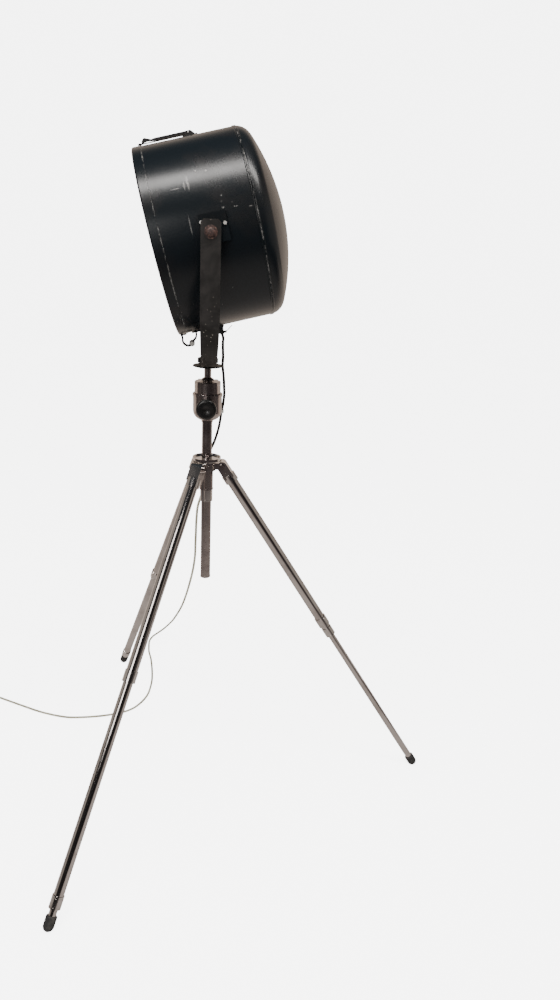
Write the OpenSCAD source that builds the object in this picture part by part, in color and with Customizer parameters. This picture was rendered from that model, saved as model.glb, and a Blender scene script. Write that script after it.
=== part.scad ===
// Tripod spotlight floor lamp, millimetres, +Z up. The three feet stand on z = 0.
// Front of the lamp is -X, leg "r" points along +X, leg "f" to the back left, leg "n" to the front left.

/* [Stance] */
// Distance from the column's axis to each foot
foot_radius = 609; // [480:1:680]
// Distance from the column's axis to each leg's hinge bolt
hinge_radius = 38; // [37:0.5:44]
// Hinge bolt to the foot's ball with both sections pushed in
leg_closed = 594; // [590:1:610]
// How far each section slides out
leg_travel = 459; // [300:1:459]

/* [Leg tubes] */
// Hinge bolt to the top of the upper tube
tube_start = 30; // [28:0.5:34]
// Length of the upper tube
upper_len = 490; // [486:1:496]
// Length of the middle tube
middle_len = 522; // [516:1:526]
// Gap above the middle tube when it is pushed in
middle_gap = 3; // [2:0.5:6]
// Length of the lower tube
lower_len = 522; // [500:1:530]
// Outer diameter of the upper tube
upper_d = 27; // [26:0.1:29]
// Outer diameter of the middle tube
middle_d = 23.4; // [22.6:0.1:23.6]
// Outer diameter of the lower tube
lower_d = 17.6; // [15:0.1:18]
// Wall of the upper tube
upper_wall = 1.3; // [1:0.1:1.4]
// Wall of the middle and lower tubes
inner_wall = 1.2; // [1:0.1:1.5]
// Length of the guide bush at the top of a sliding tube
bush_len = 20; // [14:1:24]

/* [Twist collars] */
// Length of a leg collar
collar_len = 27; // [22:1:32]
// Thickness of the lip that closes a collar's lower end
collar_lip = 3; // [2:0.5:4]
// Outer diameter of the upper leg collars
collar_1_d = 31; // [30:0.5:34]
// Outer diameter of the lower leg collars
collar_2_d = 27; // [26.5:0.5:30]
// Depth of the grooves that set off the bright end rings
groove = 0.5; // [0.2:0.1:0.8]

/* [Feet] */
// Diameter of the rubber foot
foot_d = 25; // [23:0.5:30]
// Length of the foot's straight part
foot_len = 21; // [16:1:26]
// How much of the foot's ball is cut flat
foot_flat = 1; // [0.6:0.1:2]

/* [Leg brackets] */
// Width of the crown's tongues
tongue_w = 24; // [20:0.5:26]
// Height of the crown's tongues
tongue_h = 16; // [14:0.5:17]
// Thickness of a bracket's cheek
cheek = 3.5; // [3:0.1:4]
// Outer radius of a bracket round its bolt
bracket_r = 12.5; // [12:0.1:13]
// Thickness of the strap over a bracket
strap = 3; // [2:0.1:3]
// Length of the socket round the upper tube
socket_len = 18; // [12:1:26]
// Wall of the socket
socket_wall = 3.4; // [2.5:0.1:4]
// Diameter of the hinge bolts
bolt_d = 8; // [6:0.1:9]

/* [Crown] */
// Diameter of the dished disc
disc_d = 69.4; // [60:0.1:80]
// Height of the disc's underside over the hinge bolts
disc_lift = 14; // [13.5:0.5:18]
// Height of the disc with its rim
disc_h = 7.5; // [6:0.5:10]
// Thickness of the disc inside its rim
disc_plate = 3.5; // [2.5:0.5:4.5]
// Radius of the hub below the disc
hub_r = 22; // [20:0.5:23]
// How far the hub reaches below the hinge bolts
hub_drop = 12; // [9:0.5:16]
// Outer diameter of the column sleeve
sleeve_d = 32.5; // [31.5:0.1:34]
// How far the sleeve reaches below the hinge bolts
sleeve_drop = 62; // [40:1:80]
// Length of the column's clamp collar
clamp_len = 30; // [24:1:40]
// Outer diameter of the clamp collar
clamp_d = 31; // [30.5:0.1:34]
// Length of the threaded nose inside the clamp collar
nose_len = 18; // [12:1:22]

/* [Column] */
// Diameter of the column
column_d = 25; // [22:0.1:26]
// Wall of the column
column_wall = 1.5; // [1:0.1:3]
// Hinge bolts to the underside of the head
column_rise = 109; // [107:1:180]
// Length of the column below the hinge bolts
column_drop = 298; // [296:1:340]
// Diameter of the column's end cap
end_cap_d = 26; // [25.5:0.1:28]
// Height of the end cap outside the tube
end_cap_h = 5; // [3:0.5:5]

/* [Head] */
// Radius of the head's housing
head_r = 34.5; // [33:0.1:38]
// Height of the bowl under the housing
bowl_h = 29; // [26:0.5:34]
// Top of the housing over its underside
housing_top = 63; // [61:0.5:66]
// Height of the bright ring on the housing
ring_h = 7; // [5:0.5:8]
// Radius of the turning upper housing
cap_r = 31; // [28:0.1:33]
// Height of the upper housing's straight part
cap_h = 28; // [26:0.5:30]
// Radius of the ball
ball_r = 21; // [20:0.1:21.5]
// Height of the ball's centre over the ring
ball_lift = 18; // [17.6:0.1:18.4]
// Diameter of the stud on the ball
stud_d = 17; // [12:0.5:17]
// Diameter of the platform disc
platform_d = 71; // [60:0.5:80]
// Ball's centre to the platform disc's underside
platform_lift = 43; // [40:0.5:50]
// Thickness of the platform disc
platform_h = 5; // [4:0.5:7]
// Diameter of the threaded end above the platform
thread_d = 10; // [8:0.5:12]
// Diameter of the ribbed nut
nut_d = 48; // [40:0.5:56]
// Height of the ribbed nut
nut_h = 13; // [10:0.5:16]
// Number of ribs round the nut
nut_ribs = 24; // [16:1:28]

/* [Lock knob] */
// Height of the knob's axis over the head's underside
knob_lift = 43; // [40:0.5:46]
// Diameter of the knob
knob_d = 48; // [40:0.5:52]
// Length of the knob
knob_len = 19; // [15:0.5:24]
// Column's axis to the back of the knob
knob_reach = 51; // [48:0.5:56]
// Diameter of the clamp boss behind the knob
boss_d = 45; // [40:0.5:46]
// Column's axis to the boss's face
boss_reach = 42; // [40:0.5:45]
// Diameter of the knob's shank
shank_d = 12; // [10:0.5:16]

/* [Yoke] */
// Height of the drum's trunnions over the head's underside
trunnion_lift = 425; // [420:1:470]
// Turn of the yoke about the column
yoke_turn = 3; // [-20:1:20]
// Centre of each yoke arm from the column's axis
arm_y = 214; // [212.5:0.5:230]
// Width of the yoke bar
bar_w = 40; // [34:0.5:46]
// Width of the bar where it sits on the platform
bar_low_w = 33; // [30:0.5:40]
// Thickness of the yoke bar
bar_t = 6; // [5:0.5:8]
// Height of the arms above the trunnions
arm_top = 24; // [20:0.5:34]
// Length of the arms' straight part below the trunnions
arm_straight = 176; // [150:1:200]
// Radius of the bends at the foot of the arms
bend_r = 75; // [50:1:90]
// Diameter of the trunnion bolts
trunnion_d = 10; // [8:0.5:12]

/* [Drum] */
// Tilt of the drum with its front down
drum_pitch = 14.5; // [0:0.5:30]
// Outer radius of the drum
drum_r = 197; // [180:1:198]
// Trunnion to the front seam
front_seam = 98; // [94:0.5:110]
// Trunnion to the rear seam
rear_seam = 98; // [80:0.5:120]
// Thickness of the sheet metal
sheet = 1.2; // [1:0.1:1.6]
// Radius of the beads beside the rear seam
bead_r = 2; // [1.5:0.1:2.5]
// Radius of the rear cover's shoulder
shoulder_r = 34.4; // [25:0.1:45]
// Depth of the domed rear cover
dome_depth = 70.5; // [60:0.5:85]
// Depth of the door's rim
door_depth = 21; // [19:0.5:26]

/* [Optics] */
// Trunnion to the reflector's rim
reflector_rim = 87; // [80:0.5:90]
// Depth of the reflector's bowl
reflector_depth = 132; // [120:0.5:140]
// Radius of the hole at the reflector's back
reflector_hole = 24; // [22:0.5:28]
// Radius of the lamp's globe
globe_r = 30; // [24:0.5:34]
// Radius of the lampholder
holder_r = 20; // [18:0.5:21]
// Thickness of the front glass
glass_t = 4; // [3:0.5:4.5]
// Radius of the front glass
glass_r = 190; // [188:0.5:191]

/* [Cord] */
// Diameter of the mains cord
cord_d = 6.6; // [6:0.1:6.8]
// Place of the cord's gland in front of the trunnions
gland_a = 23; // [18:0.5:28]
// Length of the gland
gland_len = 21; // [16:0.5:24]
// Radius of the cord coil's outer loop
coil_r = 50; // [49.5:0.5:54]
// Loops in the cord's coil
coil_loops = 6.25; // [4.25:1:6.25]
// Free gap between neighbouring loops
coil_gap = 1; // [0.9:0.1:1.1]
// Straight cord between the coil and the plug
coil_tail = 62; // [60:1:80]

/* [Hidden] */
$fn = 64;

// Clearances
slide_fit = 0.05;    // radial, between parts that run on each other
seat_fit = 0.1;      // radial, between parts that are fixed to each other
free_gap = 0.3;      // between parts that only pass each other
cut = 1;             // how far a cutting shape reaches past a face

// Colours
chrome = "#b9b6b2";
bright = "#dedcd8";
enamel = "#1b2226";
bar_paint = "#1d1b1a";
black = "#151515";
rust = "#7a4a36";
cord_cream = "#c9c4a4";

// Levels and angles that follow from the sizes above
foot_ball_z = foot_d / 2 - foot_flat;
leg_reach = leg_closed + leg_travel;
leg_foot_run = foot_radius - hinge_radius;
hinge_z = foot_ball_z + sqrt(leg_reach * leg_reach - leg_foot_run * leg_foot_run);
leg_angle = asin(leg_foot_run / leg_reach);
column_x = -foot_radius / 4;
head_z = hinge_z + column_rise;
ring_top = housing_top + ring_h;
ball_z = ring_top + ball_lift;
platform_z = ball_z + platform_lift;
bar_z = platform_z + platform_h;
nut_z = bar_z + bar_t;
trunnion_z = head_z + trunnion_lift;
door_front = front_seam + door_depth;

// Places along a leg, measured from its hinge bolt with both sections pushed in
upper_end = tube_start + upper_len;
middle_start = tube_start + middle_gap;
middle_end = middle_start + middle_len;
foot_socket = 17;
lower_end = leg_closed - foot_len + foot_socket;
lower_start = lower_end - lower_len;

NEAR = 240;
RIGHT = 0;
FAR = 120;

// Frames: the column's axis at the hinge level, a leg, the head, the turned yoke and the tilted drum
module at_hinges() {
    translate([column_x, 0, hinge_z]) children();
}

module at_leg(azimuth) {
    // +Z runs down the leg from its hinge bolt, +X faces the column
    at_hinges() rotate([0, 0, azimuth]) translate([hinge_radius, 0, 0])
        rotate([0, 180 - leg_angle, 0]) children();
}

module at_head() {
    translate([column_x, 0, head_z]) children();
}

module at_yoke() {
    translate([column_x, 0, trunnion_z]) rotate([0, 0, yoke_turn]) children();
}

module at_drum() {
    // -X is the drum's front and +Z its top
    at_yoke() rotate([0, -drum_pitch, 0]) children();
}

module on_drum_axis() {
    // +Z is the drum's front and +X its top
    at_drum() rotate([0, -90, 0]) children();
}

module drum_side_view(thickness, y = 0) {
    // The outline's x runs to the drum's front and its y to the drum's top
    at_drum() translate([0, y, 0]) mirror([1, 0, 0]) rotate([90, 0, 0])
        linear_extrude(thickness, center = true) children();
}

module leg_side_view(thickness, y = 0) {
    translate([0, y, 0]) rotate([90, 0, 0]) linear_extrude(thickness, center = true) children();
}

module ring(z0, z1, outer_r, inner_r) {
    translate([0, 0, z0]) difference() {
        cylinder(h = z1 - z0, r = outer_r);
        translate([0, 0, -cut]) cylinder(h = z1 - z0 + 2 * cut, r = inner_r);
    }
}

module cross_bore(d, length) {
    rotate([90, 0, 0]) cylinder(h = length, d = d, center = true);
}

function arc_points(centre, r, from, to, steps) =
    [for (i = [0:steps]) let (a = from + (to - from) * i / steps) centre + r * [cos(a), sin(a)]];

function reversed(list) = [for (i = [len(list) - 1:-1:0]) list[i]];

// ---- Crown and column sleeve ----

screw_azimuth = 290;
column_bore_r = column_d / 2 + slide_fit;
sleeve_bore_r = sleeve_d / 2 + seat_fit;
tongue_bore_d = bolt_d + 2 * slide_fit;

module crown_disc() {
    rim_w = 3;
    disc_r = disc_d / 2;
    rotate_extrude($fn = 128) polygon([
        [column_bore_r, disc_lift], [disc_r - 1, disc_lift], [disc_r, disc_lift + 1],
        [disc_r, disc_lift + disc_h], [disc_r - rim_w, disc_lift + disc_h],
        [disc_r - 2 * rim_w, disc_lift + disc_plate], [column_bore_r, disc_lift + disc_plate]]);
}

module crown() color(chrome) {
    at_hinges() difference() {
        union() {
            crown_disc();
            translate([0, 0, -hub_drop]) cylinder(h = hub_drop + disc_lift, r = hub_r);
            for (azimuth = [NEAR, RIGHT, FAR]) rotate([0, 0, azimuth]) {
                translate([0, -tongue_w / 2, -tongue_h / 2]) cube([hinge_radius, tongue_w, tongue_h]);
                translate([hinge_radius, 0, 0]) cross_bore(tongue_h, tongue_w);
            }
        }
        translate([0, 0, -hub_drop - cut]) cylinder(h = hub_drop + disc_lift + cut, r = sleeve_bore_r);
        for (azimuth = [NEAR, RIGHT, FAR]) rotate([0, 0, azimuth])
            translate([hinge_radius, 0, 0]) cross_bore(tongue_bore_d, tongue_w + 2 * cut);
    }
}

module column_sleeve() color(chrome) {
    collar_bead = 3;
    nose_r = clamp_d / 2 - 1.8;
    at_hinges() difference() {
        union() {
            translate([0, 0, -sleeve_drop]) cylinder(h = sleeve_drop + disc_lift, d = sleeve_d);
            translate([0, 0, -sleeve_drop]) cylinder(h = collar_bead, d = sleeve_d + 1.5);
            translate([0, 0, -sleeve_drop - nose_len]) cylinder(h = nose_len + cut, r = nose_r);
        }
        translate([0, 0, -sleeve_drop - nose_len - cut])
            cylinder(h = sleeve_drop + disc_lift + nose_len + 2 * cut, r = column_bore_r);
    }
}

module crown_bolts() color(bright) {
    grip = tongue_w / 2 + free_gap + cheek + free_gap;
    head_h = 4;
    for (azimuth = [NEAR, RIGHT, FAR]) at_hinges() rotate([0, 0, azimuth]) translate([hinge_radius, 0, 0]) {
        cross_bore(bolt_d, 2 * grip + 2);
        for (side = [-1, 1]) translate([0, side * (grip + head_h / 2), 0]) cross_bore(13, head_h);
    }
    at_hinges() rotate([0, 0, screw_azimuth]) translate([hub_r, 0, 0]) rotate([0, 90, 0])
        cylinder(h = 3, d = 8);
}

module clamp_collar() color(chrome) {
    nose_bore = clamp_d / 2 - 1.8 + free_gap;
    end_ring = 4;
    at_hinges() translate([0, 0, -sleeve_drop - clamp_len - free_gap]) difference() {
        union() {
            cylinder(h = clamp_len, d = clamp_d - 2 * groove);
            cylinder(h = end_ring, d = clamp_d);
            translate([0, 0, end_ring + 1]) cylinder(h = clamp_len - end_ring - 1, d = clamp_d);
        }
        translate([0, 0, -cut]) cylinder(h = clamp_len + 2 * cut, r = column_d / 2 + free_gap);
        translate([0, 0, clamp_len - nose_len - 1]) cylinder(h = nose_len + 1 + cut, r = nose_bore);
    }
}

// ---- Legs ----

cheek_y = tongue_w / 2 + free_gap + cheek / 2;
bracket_half_w = tongue_w / 2 + free_gap + cheek;
socket_bore_r = upper_d / 2 + seat_fit;

module leg_bracket(azimuth) color(chrome) {
    strap_end = 67;
    wall = 3;
    at_leg(azimuth) difference() {
        union() {
            for (side = [-1, 1]) leg_side_view(cheek, side * cheek_y) {
                circle(r = bracket_r);
                translate([-bracket_r, 0]) square([2 * bracket_r, tube_start + 5]);
            }
            leg_side_view(2 * bracket_half_w) intersection() {
                difference() {
                    circle(r = bracket_r);
                    circle(r = bracket_r - strap);
                }
                polygon([[0, 0], [0, 2 * bracket_r], [-2 * bracket_r, 2 * bracket_r],
                    [-2 * bracket_r, -2 * bracket_r * tan(strap_end) / 3],
                    2 * bracket_r * [-cos(strap_end), -sin(strap_end)]]);
            }
            translate([-bracket_r, -bracket_half_w, 0]) cube([strap, 2 * bracket_half_w, tube_start]);
            translate([-bracket_r, -bracket_half_w, tube_start - wall])
                cube([2 * bracket_r, 2 * bracket_half_w, wall]);
            translate([0, 0, tube_start - wall])
                cylinder(h = socket_len + wall, r = socket_bore_r + socket_wall);
        }
        cross_bore(tongue_bore_d, 2 * bracket_half_w + 2 * cut);
        translate([0, 0, tube_start]) cylinder(h = socket_len + cut, r = socket_bore_r);
    }
}

module leg_upper(azimuth) color(chrome) {
    at_leg(azimuth) ring(tube_start, upper_end, upper_d / 2, upper_d / 2 - upper_wall);
}

module twist_collar(start, outer_d, tube_d, inner_d) {
    // Slips over the end of one tube and guides the next
    end_ring = 3.5;
    translate([0, 0, start]) difference() {
        union() {
            cylinder(h = collar_len, d = outer_d - 2 * groove);
            cylinder(h = end_ring, d = outer_d);
            translate([0, 0, end_ring + 1]) cylinder(h = collar_len - 2 * end_ring - 2, d = outer_d);
            translate([0, 0, collar_len - end_ring]) cylinder(h = end_ring, d = outer_d);
        }
        translate([0, 0, -cut]) cylinder(h = collar_len - collar_lip + cut, d = tube_d + 2 * free_gap);
        translate([0, 0, -cut]) cylinder(h = collar_len + 2 * cut, d = inner_d + 2 * free_gap);
    }
}

module leg_collar_1(azimuth) color(chrome) {
    at_leg(azimuth) twist_collar(upper_end + collar_lip - collar_len, collar_1_d, upper_d, middle_d);
}

module leg_middle(azimuth, middle_out) color(chrome) {
    bush_r = upper_d / 2 - upper_wall - slide_fit;
    bore_r = middle_d / 2 - inner_wall;
    at_leg(azimuth) translate([0, 0, middle_out]) {
        ring(middle_start, middle_end, middle_d / 2, bore_r);
        ring(middle_start, middle_start + bush_len, bush_r, bore_r);
    }
}

module leg_collar_2(azimuth, middle_out) color(chrome) {
    at_leg(azimuth) translate([0, 0, middle_out])
        twist_collar(middle_end + collar_lip - collar_len, collar_2_d, middle_d, lower_d);
}

module leg_lower(azimuth) color(chrome) {
    bush_r = middle_d / 2 - inner_wall - slide_fit;
    bore_r = lower_d / 2 - inner_wall;
    at_leg(azimuth) translate([0, 0, leg_travel]) {
        ring(lower_start, lower_end, lower_d / 2, bore_r);
        ring(lower_start, lower_start + bush_len, bush_r, bore_r);
    }
}

module leg_foot(azimuth) color(black) {
    chamfer = 2;
    intersection() {
        at_leg(azimuth) translate([0, 0, leg_reach]) difference() {
            union() {
                sphere(d = foot_d);
                translate([0, 0, chamfer - foot_len]) cylinder(h = foot_len - chamfer, d = foot_d);
                translate([0, 0, -foot_len]) cylinder(h = chamfer, d1 = foot_d - 2 * chamfer, d2 = foot_d);
            }
            translate([0, 0, -foot_len - cut]) cylinder(h = foot_socket + cut, r = lower_d / 2 + seat_fit);
        }
        translate([-2 * foot_radius, -2 * foot_radius, 0])
            cube([4 * foot_radius, 4 * foot_radius, 4 * foot_d]);
    }
}

module leg_n_bracket() leg_bracket(NEAR);
module leg_n_upper() leg_upper(NEAR);
module leg_n_collar_1() leg_collar_1(NEAR);
module leg_n_middle() leg_middle(NEAR, leg_travel);
module leg_n_collar_2() leg_collar_2(NEAR, leg_travel);
module leg_n_lower() leg_lower(NEAR);
module leg_n_foot() leg_foot(NEAR);

module leg_r_bracket() leg_bracket(RIGHT);
module leg_r_upper() leg_upper(RIGHT);
module leg_r_collar_1() leg_collar_1(RIGHT);
module leg_r_middle() leg_middle(RIGHT, 0);
module leg_r_collar_2() leg_collar_2(RIGHT, 0);
module leg_r_lower() leg_lower(RIGHT);
module leg_r_foot() leg_foot(RIGHT);

module leg_f_bracket() leg_bracket(FAR);
module leg_f_upper() leg_upper(FAR);
module leg_f_collar_1() leg_collar_1(FAR);
module leg_f_middle() leg_middle(FAR, leg_travel);
module leg_f_collar_2() leg_collar_2(FAR, leg_travel);
module leg_f_lower() leg_lower(FAR);
module leg_f_foot() leg_foot(FAR);

// ---- Column and head ----

column_socket = 10;

module column_tube() color(chrome) {
    at_hinges() ring(-column_drop, column_rise + column_socket, column_d / 2, column_d / 2 - column_wall);
}

module column_end_cap() color("#4a4542") {
    plug_len = 12;
    at_hinges() translate([0, 0, -column_drop - end_cap_h]) {
        cylinder(h = 1, d1 = end_cap_d - 2, d2 = end_cap_d);
        translate([0, 0, 1]) cylinder(h = end_cap_h - 1, d = end_cap_d);
        cylinder(h = end_cap_h + plug_len, d = column_d - 2 * column_wall - 2 * seat_fit);
    }
}

module head_body() color(chrome) {
    neck_r = column_d / 2 + 1.5;
    bowl_r = bowl_h - 4.5;
    bowl = arc_points([head_r - bowl_r, bowl_h], bowl_r, -75, 0, 8);
    ring_r = head_r + 1;
    at_head() difference() {
        union() {
            rotate_extrude($fn = 96) polygon(concat(
                [[0, 0], [neck_r, 0], [neck_r, bowl_h - bowl_r]], bowl,
                [[head_r, housing_top], [ring_r, housing_top], [ring_r, ring_top - 1],
                [ring_r - 1, ring_top], [0, ring_top]]));
            translate([0, 0, knob_lift]) rotate([90, 0, 0]) cylinder(h = boss_reach, d = boss_d - 8);
            translate([0, 0, knob_lift]) rotate([90, 0, 0])
                translate([0, 0, boss_reach - 4]) cylinder(h = 4, d = boss_d);
        }
        translate([0, 0, -cut])
            cylinder(h = column_socket + seat_fit + cut, r = column_d / 2 + seat_fit);
        translate([0, 0, ball_z]) sphere(r = ball_r + free_gap);
        translate([0, 0, knob_lift]) rotate([90, 0, 0]) translate([0, 0, boss_reach - 22])
            cylinder(h = 22 + cut, r = shank_d / 2 + slide_fit);
    }
}

module lock_knob() color(black) {
    edge = 5;
    knob_r = knob_d / 2;
    at_head() translate([0, 0, knob_lift]) rotate([90, 0, 0]) translate([0, 0, knob_reach]) difference() {
        rotate_extrude($fn = 96) polygon(concat(
            [[0, 0], [knob_r - 6, 0]],
            arc_points([knob_r - 3, 4], 3, -60, 0, 4),
            arc_points([knob_r - edge, knob_len - edge], edge, 0, 80, 6),
            [[8, knob_len], [6, knob_len - 1.5], [0, knob_len - 1.5]]));
        translate([0, 0, -cut]) cylinder(h = 10 + cut, r = shank_d / 2 + seat_fit);
    }
}

module knob_shank() color(bright) {
    at_head() translate([0, 0, knob_lift]) rotate([90, 0, 0]) {
        translate([0, 0, boss_reach - 20]) cylinder(h = knob_reach + 10 - boss_reach + 20, d = shank_d);
        translate([0, 0, boss_reach + free_gap])
            cylinder(h = knob_reach - boss_reach - free_gap, d = shank_d + 8);
    }
}

module head_cap() color(chrome) {
    lip_z = ring_top + cap_h + 3;
    lip_r = sqrt(pow(ball_r + slide_fit, 2) - pow(lip_z - ball_z, 2));
    lugs = 4;
    at_head() difference() {
        union() {
            rotate_extrude($fn = 96) polygon([
                [0, ring_top], [cap_r - 1, ring_top], [cap_r, ring_top + 1], [cap_r, ring_top + cap_h - 1],
                [cap_r - 1, ring_top + cap_h], [lip_r + 1, lip_z], [0, lip_z]]);
            for (i = [0:lugs - 1]) rotate([0, 0, 45 + i * 360 / lugs])
                translate([cap_r - 3, 0, ring_top + cap_h - 8]) cylinder(h = 9, r = 4, $fn = 32);
        }
        translate([0, 0, ball_z]) sphere(r = ball_r + slide_fit, $fn = 96);
    }
}

module ball_stud() color(bright) {
    at_head() difference() {
        union() {
            translate([0, 0, ball_z]) sphere(r = ball_r, $fn = 96);
            translate([0, 0, ball_z]) cylinder(h = platform_lift, d = stud_d);
            translate([0, 0, platform_z]) cylinder(h = platform_h + bar_t + nut_h + 1, d = thread_d);
        }
        translate([0, 0, ball_z - ball_r - cut]) cylinder(h = 4, r = ball_r);
    }
}

module platform_disc() color(black) {
    r = platform_d / 2;
    at_head() rotate_extrude($fn = 96) polygon([
        [thread_d / 2 + seat_fit, platform_z], [r - 8, platform_z], [r, platform_z + 2],
        [r, platform_z + platform_h - 1], [r - 1, platform_z + platform_h],
        [thread_d / 2 + seat_fit, platform_z + platform_h]]);
}

module yoke_nut() color(black) {
    r = nut_d / 2 - 1.5;
    step = 360 / nut_ribs;
    rib_corners = [[-0.32, r], [-0.2, nut_d / 2], [0.2, nut_d / 2], [0.32, r]];
    top_h = 3;
    at_head() translate([0, 0, nut_z]) difference() {
        union() {
            linear_extrude(nut_h - top_h) polygon([for (i = [0:nut_ribs - 1], corner = rib_corners)
                let (a = (i + corner[0]) * step) corner[1] * [cos(a), sin(a)]]);
            translate([0, 0, nut_h - top_h]) cylinder(h = top_h, r1 = r - 0.6, r2 = r - 5);
        }
        translate([0, 0, -cut]) cylinder(h = nut_h + 2 * cut, r = thread_d / 2 + seat_fit);
    }
}

clip_place = [33.5, 18, 23];

module cord_clip() color("#cfcabd") {
    // A P clip: a loop round the cord and a tab on the head's bowl
    loop_r = cord_d / 2 + 2.4;
    clip_h = 8;
    turn = atan2(clip_place[1], clip_place[0]);
    at_head() difference() {
        translate([0, 0, clip_place[2] - clip_h / 2]) union() {
            translate([clip_place[0], clip_place[1], 0]) cylinder(h = clip_h, r = loop_r);
            rotate([0, 0, turn]) translate([26, -2.5, 0]) cube([8, 5, clip_h]);
        }
        translate([clip_place[0], clip_place[1], clip_place[2] - clip_h])
            cylinder(h = 2 * clip_h, r = cord_d / 2 + free_gap + 0.75);
        rotate_extrude($fn = 96) translate([0, bowl_h]) intersection() {
            translate([head_r - bowl_h + 4.5, 0]) circle(r = bowl_h - 4.5 + seat_fit, $fn = 96);
            translate([0, -40]) square([60, 80]);
        }
    }
}

// ---- Yoke ----

bar_drop = trunnion_lift - bar_z - bar_t / 2;
sweep_rise = bar_drop - arm_straight;
sweep_r = (arm_y * arm_y - 2 * arm_y * bend_r + sweep_rise * sweep_rise) / (2 * (sweep_rise - bend_r));
sweep_angle = atan2(sweep_r - sweep_rise, arm_y - bend_r);

function yoke_half(offset) = concat(
    [[arm_y + offset, arm_top]],
    arc_points([arm_y - bend_r, -arm_straight], bend_r + offset, 0, -sweep_angle, 10),
    [for (i = [1:8]) let (a = -sweep_angle - (90 - sweep_angle) * i / 8)
        [0, sweep_r - bar_drop] + (sweep_r + offset) * [cos(a), sin(a)]]);

function yoke_line(offset) = let (half = yoke_half(offset), n = len(half))
    concat(half, [for (i = [n - 2:-1:0]) [-half[i][0], half[i][1]]]);

module yoke() color(bar_paint) {
    corner = 6;
    at_yoke() difference() {
        intersection() {
            rotate([90, 0, 90]) linear_extrude(bar_w, center = true)
                polygon(concat(yoke_line(bar_t / 2), reversed(yoke_line(-bar_t / 2))));
            rotate([90, 0, 0]) linear_extrude(3 * arm_y, center = true) polygon([
                [-bar_w / 2, arm_top - corner], [-bar_w / 2 + corner, arm_top],
                [bar_w / 2 - corner, arm_top], [bar_w / 2, arm_top - corner],
                [bar_w / 2, -arm_straight], [bar_low_w / 2, -bar_drop - bar_t],
                [-bar_low_w / 2, -bar_drop - bar_t], [-bar_w / 2, -arm_straight]]);
        }
        cross_bore(trunnion_d + 2 * slide_fit, 3 * arm_y);
        translate([0, 0, -bar_drop]) cylinder(h = 4 * bar_t, r = thread_d / 2 + slide_fit, center = true);
        translate([0, 0, -bar_drop + bar_t / 2]) cylinder(h = bar_t, d = nut_d + 4);
    }
}

module trunnion_bolts() color(rust) {
    arm_out = arm_y + bar_t / 2;
    washer_h = 1.6;
    head_h = 7;
    for (side = [-1, 1]) at_drum() {
        translate([0, side * (drum_r + arm_out) / 2, 0]) cross_bore(trunnion_d, arm_out - drum_r + 4);
        translate([0, side * (arm_out + free_gap + washer_h / 2), 0]) cross_bore(26, washer_h);
        translate([0, side * (arm_out + free_gap + washer_h + head_h / 2), 0]) cross_bore(18, head_h);
    }
}

// ---- Drum ----

drum_in = drum_r - sheet;

module sheet_ring(seam, direction) {
    // Rolled bead that stiffens the sheet beside a seam
    translate([drum_r - sheet / 2, seam + direction * bead_r]) circle(r = bead_r, $fn = 32);
}

module drum_shell() color(enamel) {
    ledge = 8;
    on_drum_axis() difference() {
        rotate_extrude($fn = 180) {
            translate([drum_in, -rear_seam]) square([sheet, rear_seam + front_seam]);
            sheet_ring(-rear_seam, 1);
            translate([drum_in - ledge, reflector_rim - sheet]) square([ledge + sheet / 2, sheet]);
        }
        rotate([90, 0, 0]) cylinder(h = 3 * drum_r, d = trunnion_d + 2 * free_gap, center = true);
        translate([0, 0, gland_a]) rotate([0, -90, 0]) cylinder(h = 2 * drum_r, r = gland_r + free_gap);
    }
}

dome_r = (pow(drum_r - shoulder_r, 2) + pow(dome_depth, 2) - pow(shoulder_r, 2))
    / (2 * (dome_depth - shoulder_r));
dome_centre = dome_r - dome_depth;
dome_edge = atan2(drum_r - shoulder_r, dome_centre);

module rear_cover() color(enamel) {
    on_drum_axis() translate([0, 0, -rear_seam]) rotate_extrude($fn = 180) {
        difference() {
            dome_profile(0);
            dome_profile(sheet);
        }
        translate([drum_r - sheet / 2, -bead_r - 0.1]) circle(r = bead_r, $fn = 32);
    }
}

function dome_line(inset) = concat(
    [for (i = [0:24]) let (a = dome_edge * i / 24)
        [(dome_r - inset) * sin(a), dome_centre - (dome_r - inset) * cos(a)]],
    [for (i = [1:10]) let (a = dome_edge - 90 + (90 - dome_edge) * i / 10)
        [drum_r - shoulder_r, 0] + (shoulder_r - inset) * [cos(a), sin(a)]]);

module dome_profile(inset) {
    polygon(concat(dome_line(inset), [[0, 0]]));
}

pad_back = -36;
pad_front = 19;
pad_low = -22;
pad_high = 35;
pad_face = 204;

module trunnion_pads() color(enamel) {
    boss_out = arm_y - bar_t / 2 - free_gap;
    for (side = [-1, 1]) at_drum() difference() {
        union() {
            translate([-pad_front, side > 0 ? drum_r - 10 : -drum_r + 10 - (pad_face - drum_r + 10), pad_low])
                cube([pad_front - pad_back, pad_face - drum_r + 10, pad_high - pad_low]);
            translate([0, side * (drum_r + boss_out) / 2, 0]) cross_bore(30, boss_out - drum_r);
        }
        rotate([0, 90, 0]) cylinder(h = 3 * drum_r, r = drum_r + seat_fit, center = true, $fn = 180);
        cross_bore(trunnion_d + 2 * seat_fit, 3 * drum_r);
    }
}

reflector_r = drum_in - 3;
bowl_mouth_r = reflector_r - 7;
bowl_sphere = (bowl_mouth_r * bowl_mouth_r + reflector_depth * reflector_depth) / (2 * reflector_depth);

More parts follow.
